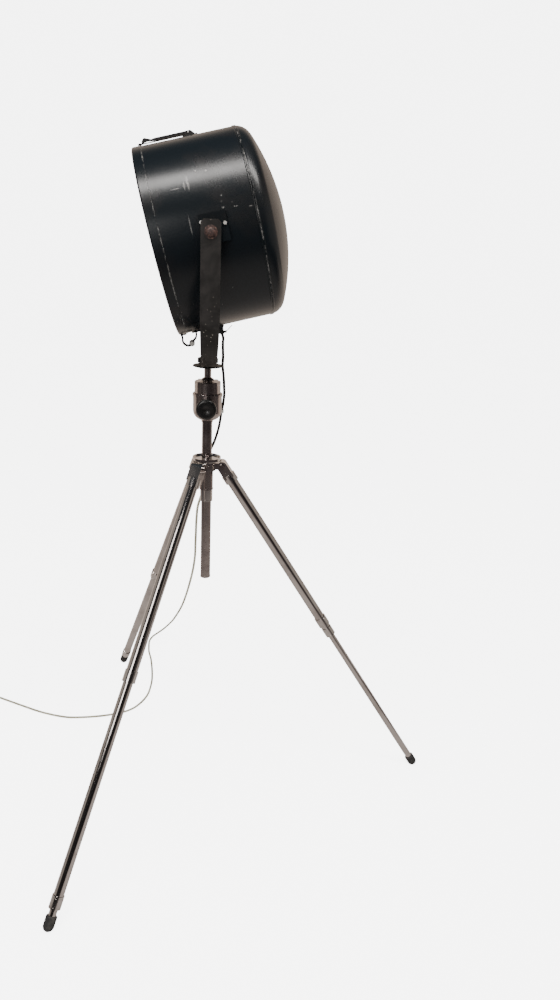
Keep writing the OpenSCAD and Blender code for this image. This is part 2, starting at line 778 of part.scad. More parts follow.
module reflector() color("#d9d9d9") {
    skin = 1;
    on_drum_axis() translate([0, 0, reflector_rim]) rotate_extrude($fn = 180) difference() {
        union() {
            intersection() {
                translate([0, bowl_sphere - reflector_depth]) circle(r = bowl_sphere, $fn = 180);
                translate([0, -2 * reflector_depth]) square([2 * drum_r, 2 * reflector_depth]);
            }
            square([reflector_r, skin]);
        }
        translate([0, bowl_sphere - reflector_depth]) circle(r = bowl_sphere - skin, $fn = 180);
        translate([-cut, -2 * reflector_depth]) square([reflector_hole + cut, 2 * reflector_depth]);
    }
}

holder_front = reflector_rim - reflector_depth + 12;
holder_back = holder_front - 50;

module lampholder_bracket() color("#8d8d8d") {
    // A dished ring on the reflector's back and a sleeve round the lampholder
    skin = 2;
    bowl_back = reflector_rim - reflector_depth;
    bore_r = holder_r + seat_fit;
    on_drum_axis() difference() {
        union() {
            ring(bowl_back - skin, bowl_back + 3, reflector_hole + 12, bore_r);
            ring(bowl_back - 22, bowl_back, bore_r + skin, bore_r);
        }
        translate([0, 0, bowl_back + bowl_sphere]) sphere(r = bowl_sphere + seat_fit, $fn = 180);
    }
}

module lampholder() color("#e8e4da") {
    on_drum_axis() difference() {
        union() {
            translate([0, 0, holder_back + 4]) cylinder(h = holder_front - holder_back - 4, r = holder_r);
            translate([0, 0, holder_back]) cylinder(h = 4, r1 = holder_r - 3, r2 = holder_r);
        }
        translate([0, 0, holder_front - 30]) cylinder(h = 31, r = 13.5 + free_gap);
    }
}

module lamp_bulb() color("#f4f1e6") {
    base_r = 13.5;
    globe_z = holder_front + 50;
    neck = arc_points([globe_z, 0], globe_r, 0, 145, 14);
    on_drum_axis() rotate_extrude($fn = 64) polygon(concat(
        [[0, holder_front - 29], [base_r - 3, holder_front - 29], [base_r, holder_front - 26],
        [base_r, holder_front + 2]],
        reversed([for (p = neck) [p[1], p[0]]])));
}

gland_r = 8.5;
gland_tip_r = cord_d / 2 + 1.6;

module strain_relief() color(black) {
    // A flange inside the drum and a tapered sleeve outside it
    at_drum() translate([-gland_a, 0, -drum_r]) {
        translate([0, 0, -gland_len]) cylinder(h = gland_len - 5, r1 = gland_tip_r, r2 = 6.5);
        translate([0, 0, -5]) cylinder(h = 5 + sheet + 2, r = gland_r);
        translate([0, 0, sheet + 0.6]) cylinder(h = 3, r = gland_r + 3);
    }
}

module cable_tie() color(black) {
    // Loop round the gland's tip, its head and the cut tail
    tie_z = -drum_r - gland_len + 4;
    loop_in = gland_tip_r + 0.7;
    at_drum() translate([-gland_a, 0, tie_z]) {
        difference() {
            union() {
                cylinder(h = 4, r = loop_in + 1.2, center = true);
                translate([loop_in - 0.6, -2.5, -2.5]) cube([6.6, 5, 5]);
                translate([loop_in + 5, -2, -0.6]) rotate([0, -34, 0]) cube([20, 4, 1.2]);
            }
            cylinder(h = 20, r = loop_in, center = true);
        }
    }
}

// ---- Door hinge ----

pivot = [95.9, -222.7];
eye_r = 6.5;
hinge_pin_d = 6;
leaf_w = 14;
leaf_t = 4;
arm_t = 3;
door_r = drum_r + 0.8;

module curved_seat(r) {
    // Hollows the underside of a plate so that it lies on the round drum
    on_drum_axis() cylinder(h = 4 * drum_r, r = r, center = true, $fn = 180);
}

module drum_arm_outline() {
    start = arc_points([pivot[0] + 2, -202], 19, 180, 250, 6);
    inner = arc_points([pivot[0] + 2, -202], 19 - leaf_t, 250, 180, 6);
    polygon(concat([[pivot[0] - 17, -drum_r - 1]], start, [pivot + [1, -3]], inner,
        [[pivot[0] - 13, -drum_r - 1]]));
    translate(pivot) circle(r = eye_r);
}

module hinge_leaf_drum() color(black) {
    gap_y = leaf_w / 2 + free_gap + arm_t / 2;
    difference() {
        union() {
            drum_side_view(2 * gap_y + arm_t + 6) translate([66, -drum_r - 3]) square([24, 6]);
            for (side = [-1, 1]) drum_side_view(arm_t, side * gap_y) drum_arm_outline();
        }
        curved_seat(drum_r + seat_fit);
        drum_side_view(4 * leaf_w) translate(pivot) circle(d = hinge_pin_d + 2 * slide_fit);
    }
}

module hinge_leaf_door() color(black) {
    centre = [102.5, -213.5];
    r = 13.2;
    outer = arc_points(centre, r + leaf_t / 2, 25, -135, 12);
    inner = arc_points(centre, r - leaf_t / 2, -135, 25, 12);
    difference() {
        union() {
            drum_side_view(leaf_w) {
                polygon(concat([[116.8, -drum_r - 1]], outer, inner, [[112.4, -drum_r - 1]]));
                translate(pivot) circle(r = eye_r);
            }
            drum_side_view(leaf_w + 14) translate([front_seam + 5, -drum_r - 3]) square([13.8, 6]);
        }
        curved_seat(door_r + seat_fit);
        drum_side_view(4 * leaf_w) translate(pivot) circle(d = hinge_pin_d + 2 * slide_fit);
    }
}

// ---- Catch on the drum's top ----

catch_pivot = [-3.3, drum_r + 7.7];
heel = [-7, drum_r + 6];
link_low = drum_r + 3.4;
link_high = drum_r + 4.9;
lever_w = 11;
link_w = 6;
keeper_a = front_seam + 1.5;
keeper_len = 3.5;

module catch_base() color(black) {
    ear = 2.4;
    ear_y = lever_w / 2 + free_gap + ear / 2;
    difference() {
        union() {
            drum_side_view(2 * ear_y + ear) translate([-22, drum_r - 2]) square([32, 4.6]);
            for (side = [-1, 1]) drum_side_view(ear, side * ear_y) polygon([
                [-16, drum_r + 1], [-16, drum_r + 4], [-9, drum_r + 10.5], [2, drum_r + 10.5],
                [4, drum_r + 8], [4, drum_r + 1]]);
            drum_side_view(2 * ear_y + ear) polygon([
                [-16, drum_r + 1], [-16, drum_r + 4], [-12, drum_r + 7.7], [-12, drum_r + 1]]);
        }
        curved_seat(drum_r + seat_fit);
        drum_side_view(lever_w + 2 * free_gap) translate([-11, drum_r - 4]) square([24, 9]);
        drum_side_view(4 * lever_w) translate(catch_pivot) circle(d = 3 + 2 * slide_fit, $fn = 32);
    }
}

module catch_lever() color(black) {
    top = drum_r + 10.5;
    low = drum_r + 6;
    difference() {
        drum_side_view(lever_w) polygon(concat(
            [[-6.5, top - 1.5], [-5, top], [68, top], [76, top - 1.2]],
            arc_points([84, drum_r + 2], 14, 65, 12, 6),
            [[96, drum_r + 5.6], [93, drum_r + 6.2], [84, low + 1.4], [76, low + 0.4], [68, low], [2, low],
            [-2, low - 1], [-6, low - 2], [-9, low - 1], [-9, low + 1]]));
        drum_side_view(link_w + 0.8) polygon([[-12, low - 4], [-12, low + 2.6], [-5.5, low + 2.6],
            [-3.6, low - 0.2], [4, low - 0.2], [4, low - 4]]);
        drum_side_view(4 * lever_w) translate(catch_pivot) circle(d = 3 + 2 * slide_fit, $fn = 32);
    }
    drum_side_view(lever_w) translate(heel) circle(r = 1, $fn = 32);
}

module catch_link() color(bright) {
    window = [keeper_len + 1, 8];
    wide = 13;
    bar = 2.4;
    front = keeper_a + keeper_len + 0.5 + bar;
    difference() {
        union() {
            drum_side_view(link_w) {
                polygon([heel + [-1, -1.8], [heel[0] + 2, link_low], [front, link_low], [front, link_high],
                    [heel[0] + 3.2, link_high], heel + [0, 1.8]]);
                translate(heel) circle(r = 2, $fn = 32);
            }
            drum_side_view(wide) translate([keeper_a - 0.5 - bar, link_low])
                square([front - keeper_a + 0.5 + bar, link_high - link_low]);
        }
        drum_side_view(window[1]) translate([keeper_a - 0.5, link_low - 1]) square([window[0], 4]);
        drum_side_view(3 * link_w) translate(heel) circle(r = 1 + slide_fit, $fn = 32);
    }
}

// ---- Door ----

module door_bezel() color(enamel) {
    lip = 15;
    back = front_seam + free_gap;
    front = door_front;
    on_drum_axis() rotate_extrude($fn = 180) polygon([
        [door_r - sheet - 0.4, back], [door_r, back], [door_r, front - 3], [door_r - 0.9, front - 0.9],
        [door_r - 3, front], [door_r - lip, front], [door_r - lip, front - sheet],
        [door_r - 3, front - sheet], [door_r - sheet - 0.4, front - 3]]);
    drum_side_view(7) polygon([
        [keeper_a, drum_r + 0.4], [keeper_a, link_high + 1.5], [keeper_a + keeper_len, link_high + 1.5],
        [keeper_a + keeper_len, drum_r + 0.4]]);
}

seal_back = door_front - sheet - 0.2 - 8.6;

module door_glass() color([0.8, 0.86, 0.86, 0.5]) {
    middle = seal_back + 4.3;
    on_drum_axis() translate([0, 0, middle - glass_t / 2]) cylinder(h = glass_t, r = glass_r, $fn = 180);
}

module glass_seal() color(black) {
    outer = door_r - sheet - 0.4 - free_gap;
    inner = glass_r - 4;
    middle = seal_back + 4.3;
    on_drum_axis() rotate_extrude($fn = 180) difference() {
        polygon([[inner, seal_back], [outer, seal_back], [outer, seal_back + 6.8],
            [outer - 1.8, seal_back + 8.6], [inner, seal_back + 8.6]]);
        translate([inner - cut, middle - glass_t / 2 - 0.05])
            square([glass_r - inner + seat_fit + cut, glass_t + 0.1]);
    }
}

module drum_fixings() color(bright) {
    pin_half = leaf_w / 2 + free_gap + arm_t + 1.5;
    for (side = [-1, 1]) at_drum() for (place = [[14.2, 21], [-31, 11]])
        translate([-place[0], side * (pad_face + 1), place[1]]) cross_bore(7, 2);
    drum_side_view(2 * pin_half) translate(pivot) circle(d = hinge_pin_d);
    for (side = [-1, 1]) drum_side_view(1.5, side * (pin_half + 0.7)) translate(pivot)
        circle(r = eye_r - 1.5);
    drum_side_view(lever_w + 8) translate(catch_pivot) circle(d = 3, $fn = 32);
}

// ---- Cord ----

gland_tip = let (down = drum_r + gland_len, x = -gland_a * cos(drum_pitch) + down * sin(drum_pitch),
        z = -gland_a * sin(drum_pitch) - down * cos(drum_pitch))
    [x * cos(yoke_turn), x * sin(yoke_turn), trunnion_z + z];
gland_way = let (x = sin(drum_pitch)) [x * cos(yoke_turn), x * sin(yoke_turn), -cos(drum_pitch)];
cord_r = cord_d / 2;
cord_break = 0.4;    // where one length of the cord gives way to the next
floor_z = 3.5;

// Points that the cord passes, measured from the column's axis and the floor
upper_route = [[34, 4, 1190], [35, 12, 1160], [34, 22, 1138], [37, 20, 1112], [39, 14, 1086],
    [39.5, 13, 1070], [37, 16, 1045]];
clip_point = [33.5, 18, 1028];
drop_route = [[30, 20, 1000], [24, 22, 972], [16, 28, 946], [8, 39, 925], [4, 46, 904], [3, 49, 880],
    [-1, 50, 850], [-10, 50, 815], [-23, 50, 771], [-27, 60, 732], [-29, 74, 692], [-31, 90, 647],
    [-33, 108, 604], [-40, 148, 547], [-51, 200, 484], [-71, 310, 380], [-98, 455, 258], [-135, 600, 134],
    [-153.4, 642.7, 92], [-166.8, 689.4, 56.2], [-183.8, 705.6, 31.7], [-203.5, 705.3, 16],
    [-220.2, 694.6, 8.1], [-229.4, 676.9, 4]];
floor_route = [[-231.3, 653.8], [-229, 627.8], [-224, 590], [-211, 539], [-200, 475],
    [-193, 414], [-193, 365], [-197, 327], [-206, 298], [-219, 272], [-238, 248], [-271, 228], [-329, 211],
    [-404, 203], [-451, 208], [-518, 230], [-588, 264], [-661, 301]];
coil_centre = [-739, 286];
coil_start_angle = 63;

function along(a, b, f) = a + (b - a) * f;

// Smooth curve through the points, with the given number of steps between two of them
function through(p, steps) = concat(
    [for (i = [0:len(p) - 2], k = [0:steps - 1])
        let (f = k / steps, a = p[max(i - 1, 0)], b = p[i], c = p[i + 1], d = p[min(i + 2, len(p) - 1)])
        0.5 * (2 * b + (c - a) * f + (2 * a - 5 * b + 4 * c - d) * f * f
            + (3 * b - a - 3 * c + d) * f * f * f)],
    [p[len(p) - 1]]);

function unit(v) = v / norm(v);

function ways(p) = [for (i = [0:len(p) - 1]) unit(p[min(i + 1, len(p) - 1)] - p[max(i - 1, 0)])];

// Sideways vectors that turn as little as they can along the path
function sides_of(t, start) = [for (i = 0, s = unit(start - (start * t[0]) * t[0]); i < len(t);
    i = i + 1, s = i < len(t) ? unit(s - (s * t[i]) * t[i]) : s) s];

module swept_tube(p, r, count) {
    t = ways(p);
    s = sides_of(t, [0.3, 1, 0.1]);
    n = len(p);
    rings = [for (i = [0:n - 1], k = [0:count - 1]) let (a = 360 * k / count)
        p[i] + r * (cos(a) * s[i] + sin(a) * cross(t[i], s[i]))];
    walls = [for (i = [0:n - 2], k = [0:count - 1])
        let (a = i * count + k, b = i * count + (k + 1) % count)
            each [[a, b + count, b], [a, a + count, b + count]]];
    first = [for (k = [1:count - 2]) [0, k, k + 1]];
    last = [for (k = [1:count - 2]) (n - 1) * count * [1, 1, 1] + [0, k + 1, k]];
    polyhedron(points = [for (q = rings) q + [column_x, 0, 0]], faces = concat(walls, first, last));
}

module cord_upper() color(cord_cream) {
    last = upper_route[len(upper_route) - 1];
    route = concat([gland_tip + cord_break * gland_way, gland_tip + 10 * gland_way], upper_route,
        [clip_point + cord_break * unit(last - clip_point)]);
    swept_tube(through(route, 2), cord_r, 8);
}

coil_low_z = floor_z;
coil_high_z = floor_z + cord_d + coil_gap / 2;
coil_pitch = cord_d + coil_gap;
coil_low_loops = (coil_loops - 0.5) / 2;
coil_steps = 24;

// Distance of the cord from the coil's centre and its height, after a number of loops
function coil_radius(n) = coil_r - coil_pitch * min(n, coil_loops - n);
function coil_height(n) = n < coil_low_loops ? coil_low_z
    : n > coil_low_loops + 0.5 ? coil_high_z
    : along(coil_low_z, coil_high_z, (1 - cos(360 * (n - coil_low_loops))) / 2);
function coil_point(n) = let (a = coil_start_angle + 360 * n, r = coil_radius(n))
    [coil_centre[0] + r * cos(a), coil_centre[1] + r * sin(a), coil_height(n)];
function coil_way(n) = let (a = coil_start_angle + 360 * n) [-sin(a), cos(a), 0];

coil_end = coil_point(coil_loops);
plug_way = coil_way(coil_loops);
coil_path = concat([coil_point(0) - (cord_d + 2) * coil_way(0)],
    [for (i = [0:coil_steps * coil_loops]) coil_point(i / coil_steps)],
    [coil_end + 10 * plug_way, coil_end + coil_tail * plug_way]);

coil_self_gap = min([for (i = [0:len(coil_path) - 4], j = [i + 3:len(coil_path) - 1])
    norm(coil_path[i] - coil_path[j])]) - cord_d;

module cord_drop() color(cord_cream) {
    floor_points = [for (q = floor_route) [q[0], q[1], floor_z]];
    start = clip_point + cord_break * unit(drop_route[0] - clip_point);
    end = coil_path[0] - cord_break * coil_way(0);
    swept_tube(concat([start], drop_route, floor_points, [end]), cord_r, 8);
}

module cord_coil() color(cord_cream) {
    echo(coil_self_gap = coil_self_gap);
    swept_tube(coil_path, cord_r, 6);
}

plug_start = coil_end + coil_tail * plug_way;
plug_turn = atan2(plug_way[1], plug_way[0]);

module at_plug() {
    // +X runs away from the cord, z = 0 is the floor
    translate([column_x + plug_start[0], plug_start[1], 0]) rotate([0, 0, plug_turn]) children();
}

module plug() color("#1c1c1c") {
    body = [46, 46, 19];
    edge = 4;
    sleeve_len = 12;
    at_plug() {
        translate([0, 0, coil_high_z]) rotate([0, 90, 0])
            cylinder(h = sleeve_len + 2, r1 = cord_r + 1.2, r2 = 7);
        translate([sleeve_len, 0, 0]) linear_extrude(body[2]) polygon([
            [0, -11], [9, -body[1] / 2], [body[0] - edge, -body[1] / 2], [body[0], -body[1] / 2 + edge],
            [body[0], body[1] / 2 - edge], [body[0] - edge, body[1] / 2], [9, body[1] / 2], [0, 11]]);
    }
}

module plug_pins() color("#b79a55") {
    top = 19;
    at_plug() {
        translate([12 + 34, -2, top]) cube([4, 4, 22]);
        translate([12 + 35, -4, top]) cube([4, 8, 22.7]);
        for (side = [-1, 1]) translate([12 + 12, side * 11 - 3.2, top]) cube([4, 6.4, 17.7]);
    }
}

crown();
column_sleeve();
crown_bolts();
clamp_collar();
leg_n_bracket();
leg_n_upper();
leg_n_collar_1();
leg_n_middle();
leg_n_collar_2();
leg_n_lower();
leg_n_foot();
leg_r_bracket();
leg_r_upper();
leg_r_collar_1();
leg_r_middle();
leg_r_collar_2();
leg_r_lower();
leg_r_foot();
leg_f_bracket();
leg_f_upper();
leg_f_collar_1();
leg_f_middle();
leg_f_collar_2();
leg_f_lower();
leg_f_foot();
column_tube();
column_end_cap();
head_body();
cord_clip();
lock_knob();
knob_shank();
head_cap();
ball_stud();
platform_disc();
yoke_nut();
yoke();
trunnion_bolts();
drum_shell();
rear_cover();
trunnion_pads();
reflector();
lampholder_bracket();
lampholder();
lamp_bulb();
strain_relief();
cable_tie();
hinge_leaf_drum();
catch_base();
drum_fixings();
door_bezel();
door_glass();
glass_seal();
hinge_leaf_door();
catch_lever();
catch_link();
cord_upper();
cord_drop();
cord_coil();
plug();
plug_pins();
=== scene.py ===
# %% [markdown]
# This lesson dresses a tripod spotlight: a sheet-metal drum in a U-shaped yoke, on a ball head and a
# lifting column, over three telescopic chrome legs.
# The rigid parts come from the CAD model, in the same place and size. Blender gives them their finishes
# and adds the pieces that a plain solid can't show well: the cord, the plug, turned fittings and wear.

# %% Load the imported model
from math import cos, pi, radians, sin

import bpy
from mathutils import Matrix, Vector


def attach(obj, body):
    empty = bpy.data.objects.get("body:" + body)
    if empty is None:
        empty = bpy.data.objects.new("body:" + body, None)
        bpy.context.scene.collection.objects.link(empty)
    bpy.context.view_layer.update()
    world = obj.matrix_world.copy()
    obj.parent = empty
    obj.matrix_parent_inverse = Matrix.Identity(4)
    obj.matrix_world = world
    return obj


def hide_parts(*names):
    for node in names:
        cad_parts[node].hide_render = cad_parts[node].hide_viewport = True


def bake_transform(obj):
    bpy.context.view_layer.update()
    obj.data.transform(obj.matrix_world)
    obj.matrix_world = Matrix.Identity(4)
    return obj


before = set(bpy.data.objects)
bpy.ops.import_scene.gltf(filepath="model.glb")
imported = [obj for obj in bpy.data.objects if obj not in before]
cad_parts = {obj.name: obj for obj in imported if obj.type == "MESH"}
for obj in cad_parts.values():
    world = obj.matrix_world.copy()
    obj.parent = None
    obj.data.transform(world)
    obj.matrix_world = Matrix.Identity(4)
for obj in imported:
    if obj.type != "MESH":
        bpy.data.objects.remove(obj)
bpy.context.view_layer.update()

# %% [markdown]
# The drawings of the lamp count millimetres from the column's axis. These helpers turn such a place, or a
# place on the tilted drum, into the scene's metres, so that each piece can be modelled upright at the
# origin and then be carried to where it sits.

# %% Places
COLUMN_X = -152.25
TRUNNION_Z = 1430.24
HEAD_Z = 1005.24
DRUM_RADIUS = 197
GLAND_BACK, GLAND_LENGTH = 23, 21
KNOB_LIFT, KNOB_REACH = 43, 51

drum_place = (Matrix.Translation((COLUMN_X / 1000, 0, TRUNNION_Z / 1000))
              @ Matrix.Rotation(radians(3), 4, "Z") @ Matrix.Rotation(radians(-14.5), 4, "Y"))


def by_column(x, y, z):
    return Vector(((x + COLUMN_X) / 1000, y / 1000, z / 1000))


print("drum's middle:", [round(v, 4) for v in drum_place.translation])

# %% [markdown]
# The camera comes first, because every finish is seen through it. Its height, distance and turn were found
# from the three feet and the drum's circles: it stands at chest height, looks down at the lamp by 19 degrees
# and is held a little askew.

# %% Camera
FOCAL_PIXELS = 710.7
camera_data = bpy.data.cameras.new("camera")
camera_data.sensor_width = 36
camera_data.lens = FOCAL_PIXELS / 1000 * 36
camera = bpy.data.objects.new("camera", camera_data)
bpy.context.scene.collection.objects.link(camera)
camera.matrix_world = (Matrix.Translation((-0.08436, -1.68753, 1.40286))
                       @ Matrix.Rotation(radians(-3.98), 4, "Z") @ Matrix.Rotation(radians(-19.334), 4, "X")
                       @ Matrix.Rotation(radians(-2.807), 4, "Y") @ Matrix.Rotation(radians(90), 4, "X"))
bpy.context.scene.camera = camera
print("lens in millimetres:", round(camera_data.lens, 2))

# %% [markdown]
# The mains cord is one limp round cable, 6.6 mm thick. It leaves the drum through a gland, is held by a
# clip on the head, hangs beside the column, lands behind the lamp and snakes forward over the floor. What
# the picture doesn't show is wound into a small coil with the plug beside it.
# A curve with a round bevel is the natural tool: the curve's points are the cord's middle line. The same
# points shape the solid cord, and a smooth curve through them takes the corners off.

# %% The cord's middle line
CORD_THICK = 6.6
CORD_RADIUS = CORD_THICK / 2000
FLOOR_Z = 3.5
gland_tip = drum_place @ Vector((-GLAND_BACK / 1000, 0, -(DRUM_RADIUS + GLAND_LENGTH) / 1000))
gland_way = (drum_place.to_3x3() @ Vector((0, 0, -1))).normalized()
upper_route = [(34, 4, 1190), (35, 12, 1160), (34, 22, 1138), (37, 20, 1112), (39, 14, 1086),
               (39.5, 13, 1070), (37, 16, 1045)]
clip_point = (33.5, 18, 1028)
drop_route = [(30, 20, 1000), (24, 22, 972), (16, 28, 946), (8, 39, 925), (4, 46, 904), (3, 49, 880),
              (-1, 50, 850), (-10, 50, 815), (-23, 50, 771), (-27, 60, 732), (-29, 74, 692), (-31, 90, 647),
              (-33, 108, 604), (-40, 148, 547), (-51, 200, 484), (-71, 310, 380), (-98, 455, 258),
              (-135, 600, 134), (-153.4, 642.7, 92), (-166.8, 689.4, 56.2), (-183.8, 705.6, 31.7),
              (-203.5, 705.3, 16), (-220.2, 694.6, 8.1), (-229.4, 676.9, 4)]
floor_route = [(-231.3, 653.8), (-229, 627.8), (-224, 590), (-211, 539), (-200, 475), (-193, 414),
               (-193, 365), (-197, 327), (-206, 298), (-219, 272), (-238, 248), (-271, 228), (-329, 211),
               (-404, 203), (-451, 208), (-518, 230), (-588, 264), (-661, 301)]


def smooth_way(points, steps):
    way = []
    for i in range(len(points) - 1):
        before, here = points[max(i - 1, 0)], points[i]
        there, after = points[i + 1], points[min(i + 2, len(points) - 1)]
        for k in range(steps):
            f = k / steps
            way.append(0.5 * (2 * here + (there - before) * f
                              + (2 * before - 5 * here + 4 * there - after) * f * f
                              + (3 * here - before - 3 * there + after) * f * f * f))
    return way + [points[-1]]


def length_of(way):
    return sum((b - a).length for a, b in zip(way, way[1:]))


lead_way = smooth_way([gland_tip, gland_tip + 0.01 * gland_way]
                      + [by_column(*p) for p in upper_route] + [by_column(*clip_point)], 6)
print("gland to clip in metres:", round(length_of(lead_way), 3))

# %% [markdown]
# The spare cord lies in two layers. The lower layer winds inwards and the upper one outwards again, so
# both ends of the coil are free, and the radius changes by one cord and a small gap with each loop.

# %% The coil's middle line
COIL_CENTRE = (-739, 286)
COIL_RADIUS, COIL_LOOPS, COIL_GAP, COIL_TAIL = 50, 6.25, 1, 62
COIL_START, COIL_STEPS = 63, 36
COIL_LOW, COIL_HIGH = FLOOR_Z, FLOOR_Z + CORD_THICK + COIL_GAP / 2


def coil_point(n):
    climb = n - (COIL_LOOPS - 0.5) / 2
    height = (COIL_LOW if climb < 0 else COIL_HIGH if climb > 0.5
              else COIL_LOW + (COIL_HIGH - COIL_LOW) * (1 - cos(2 * pi * climb)) / 2)
    radius = COIL_RADIUS - (CORD_THICK + COIL_GAP) * min(n, COIL_LOOPS - n)
    turn = radians(COIL_START + 360 * n)
    return by_column(COIL_CENTRE[0] + radius * cos(turn), COIL_CENTRE[1] + radius * sin(turn), height)


start_turn, end_turn = radians(COIL_START), radians(COIL_START + 360 * COIL_LOOPS)
plug_way = Vector((-sin(end_turn), cos(end_turn), 0))
start_way = Vector((-sin(start_turn), cos(start_turn), 0))
coil_way = ([coil_point(0) - (CORD_THICK + 2) / 1000 * start_way]
            + [coil_point(i / COIL_STEPS) for i in range(int(COIL_STEPS * COIL_LOOPS) + 1)]
            + [coil_point(COIL_LOOPS) + COIL_TAIL / 1000 * k / 6 * plug_way for k in range(1, 7)])
hanging_way = smooth_way([by_column(*clip_point)] + [by_column(*p) for p in drop_route]
                         + [by_column(x, y, FLOOR_Z) for x, y in floor_route] + [coil_way[0]], 5)
main_way = hanging_way + coil_way[1:]
print("clip to plug in metres:", round(length_of(main_way), 3))

# %% [markdown]
# Every tool of Blender works on what is selected. So before each step one piece, or a named few, is
# selected and made active, and everything else is let go.

# %% Select one piece and nothing else
def pick(*pieces):
    if bpy.context.object and bpy.context.object.mode != "OBJECT":
        bpy.ops.object.mode_set(mode="OBJECT")
    bpy.ops.object.select_all(action="DESELECT")
    for piece in pieces:
        piece.select_set(True)
    bpy.context.view_layer.objects.active = pieces[0]
    return pieces[0]


bpy.ops.object.select_all(action="DESELECT")
print("selected:", len(bpy.context.selected_objects))

# %% [markdown]
# From the drum to the clip the cord crosses three joints, so that stretch is cut into four leads. The rest of
# the cord is one piece down to the plug.

# %% The cord as a tube
def cord_piece(name, way, sides=3):
    curve = bpy.data.curves.new(name, "CURVE")
    curve.dimensions = "3D"
    curve.bevel_depth = CORD_RADIUS
    curve.bevel_resolution = sides
    curve.use_fill_caps = True
    spline = curve.splines.new("POLY")
    spline.points.add(len(way) - 1)
    for knot, place in zip(spline.points, way):
        knot.co = (*place, 1)
    piece = bpy.data.objects.new(name, curve)
    bpy.context.scene.collection.objects.link(piece)
    pick(piece)
    bpy.ops.object.convert(target="MESH")
    bpy.ops.object.shade_smooth_by_angle(angle=radians(50))
    return bpy.context.object


quarter = length_of(lead_way) / 4
lead_ends = [min(range(len(lead_way)), key=lambda i: abs(length_of(lead_way[:i + 1]) - k * quarter))
             for k in range(5)]
leads = []
for number, (start, end) in enumerate(zip(lead_ends, lead_ends[1:])):
    way = lead_way[start:end + 1]
    lead = cord_piece(f"cord_lead_{number + 1}", way)
    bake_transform(lead)
    leads.append(lead)
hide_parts("cord_upper")
main_cord = cord_piece("cord_main", main_way)
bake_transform(main_cord)
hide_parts("cord_drop", "cord_coil")
print("cord pieces:", len(leads) + 1, "rings:", len(main_way))

# %% [markdown]
# Every finish starts from the same few helpers: a new material with its shader, a place inside it that
# reads the piece's own coordinates, and a way to join nodes. Object coordinates are used because each
# finished piece has its place in its mesh, so a pattern keeps its true size in metres.

# %% Material helpers
def new_finish(name, colour, roughness, metallic=0.0, **sockets):
    finish = bpy.data.materials.new(name)
    finish.use_nodes = True
    shader = finish.node_tree.nodes["Principled BSDF"]
    shader.inputs["Base Color"].default_value = (*colour, 1)
    shader.inputs["Roughness"].default_value = roughness
    shader.inputs["Metallic"].default_value = metallic
    for socket, value in sockets.items():
        shader.inputs[socket.replace("_", " ")].default_value = value
    finish.diffuse_color = (*colour, 1)
    return finish


def add_node(tree, kind, values=None, **settings):
    node = tree.nodes.new(kind)
    for name, value in settings.items():
        setattr(node, name, value)
    for socket, value in (values or {}).items():
        node.inputs[socket].default_value = value
    return node


def join(tree, source, output, target, socket):
    tree.links.new(source.outputs[output], target.inputs[socket])


def new_group(name, inputs, outputs):
    group = bpy.data.node_groups.new(name, "ShaderNodeTree")
    for socket, kind, value in inputs:
        made = group.interface.new_socket(socket, in_out="INPUT", socket_type=kind)
        if value is not None:
            made.default_value = value
    for socket, kind in outputs:
        group.interface.new_socket(socket, in_out="OUTPUT", socket_type=kind)
    return group, group.nodes.new("NodeGroupInput"), group.nodes.new("NodeGroupOutput")


VALUE, VECTOR = "NodeSocketFloat", "NodeSocketVector"
print("finishes before:", len(bpy.data.materials))

# %% [markdown]
# Old enamel and plating are never even. One group gives two kinds of unevenness that most of the lamp's
# finishes share: broad cloudy patches, where hands, dust and polish have changed the gloss, and a fine
# grain. It only puts out masks, and each finish decides what they change.

# %% Cloudy soiling and grain
soiling, ins, outs = new_group("soiling and grain", [
    ("Vector", VECTOR, None), ("Patch Scale", VALUE, 9.0), ("Patch Edge", VALUE, 0.5),
    ("Grain Scale", VALUE, 900.0)], [("Patches", VALUE), ("Grain", VALUE), ("Height", VALUE)])
patch_noise = add_node(soiling, "ShaderNodeTexNoise", {"Detail": 5.0, "Roughness": 0.62, "Distortion": 0.4})
grain_noise = add_node(soiling, "ShaderNodeTexNoise", {"Detail": 3.0, "Roughness": 0.6})
patch_range = add_node(soiling, "ShaderNodeMapRange", interpolation_type="SMOOTHSTEP")
EDGE_SOFTNESS = 0.14
edge_low = add_node(soiling, "ShaderNodeMath", {1: EDGE_SOFTNESS}, operation="SUBTRACT")
edge_high = add_node(soiling, "ShaderNodeMath", {1: EDGE_SOFTNESS}, operation="ADD")
height_mix = add_node(soiling, "ShaderNodeMath", {1: 0.35}, operation="MULTIPLY")
height_sum = add_node(soiling, "ShaderNodeMath", operation="ADD")
join(soiling, ins, "Vector", patch_noise, "Vector")
join(soiling, ins, "Patch Scale", patch_noise, "Scale")
join(soiling, ins, "Vector", grain_noise, "Vector")
join(soiling, ins, "Grain Scale", grain_noise, "Scale")
join(soiling, ins, "Patch Edge", edge_low, 0)
join(soiling, ins, "Patch Edge", edge_high, 0)
join(soiling, patch_noise, "Fac", patch_range, "Value")
join(soiling, edge_low, 0, patch_range, "From Min")
join(soiling, edge_high, 0, patch_range, "From Max")
join(soiling, patch_range, "Result", outs, "Patches")
join(soiling, grain_noise, "Fac", outs, "Grain")
join(soiling, grain_noise, "Fac", height_mix, 0)
join(soiling, height_mix, 0, height_sum, 0)
join(soiling, patch_noise, "Fac", height_sum, 1)
join(soiling, height_sum, 0, outs, "Height")
print("group:", soiling.name, [s.name for s in soiling.interface.items_tree])

# %% [markdown]
# Scratches are long and thin, chips are small and round. Stretching a noise along one direction and
# keeping only its rarest peaks gives the first. A cell pattern whose cells are mostly empty gives the
# second. A slow noise gathers both in places, as real knocks are.

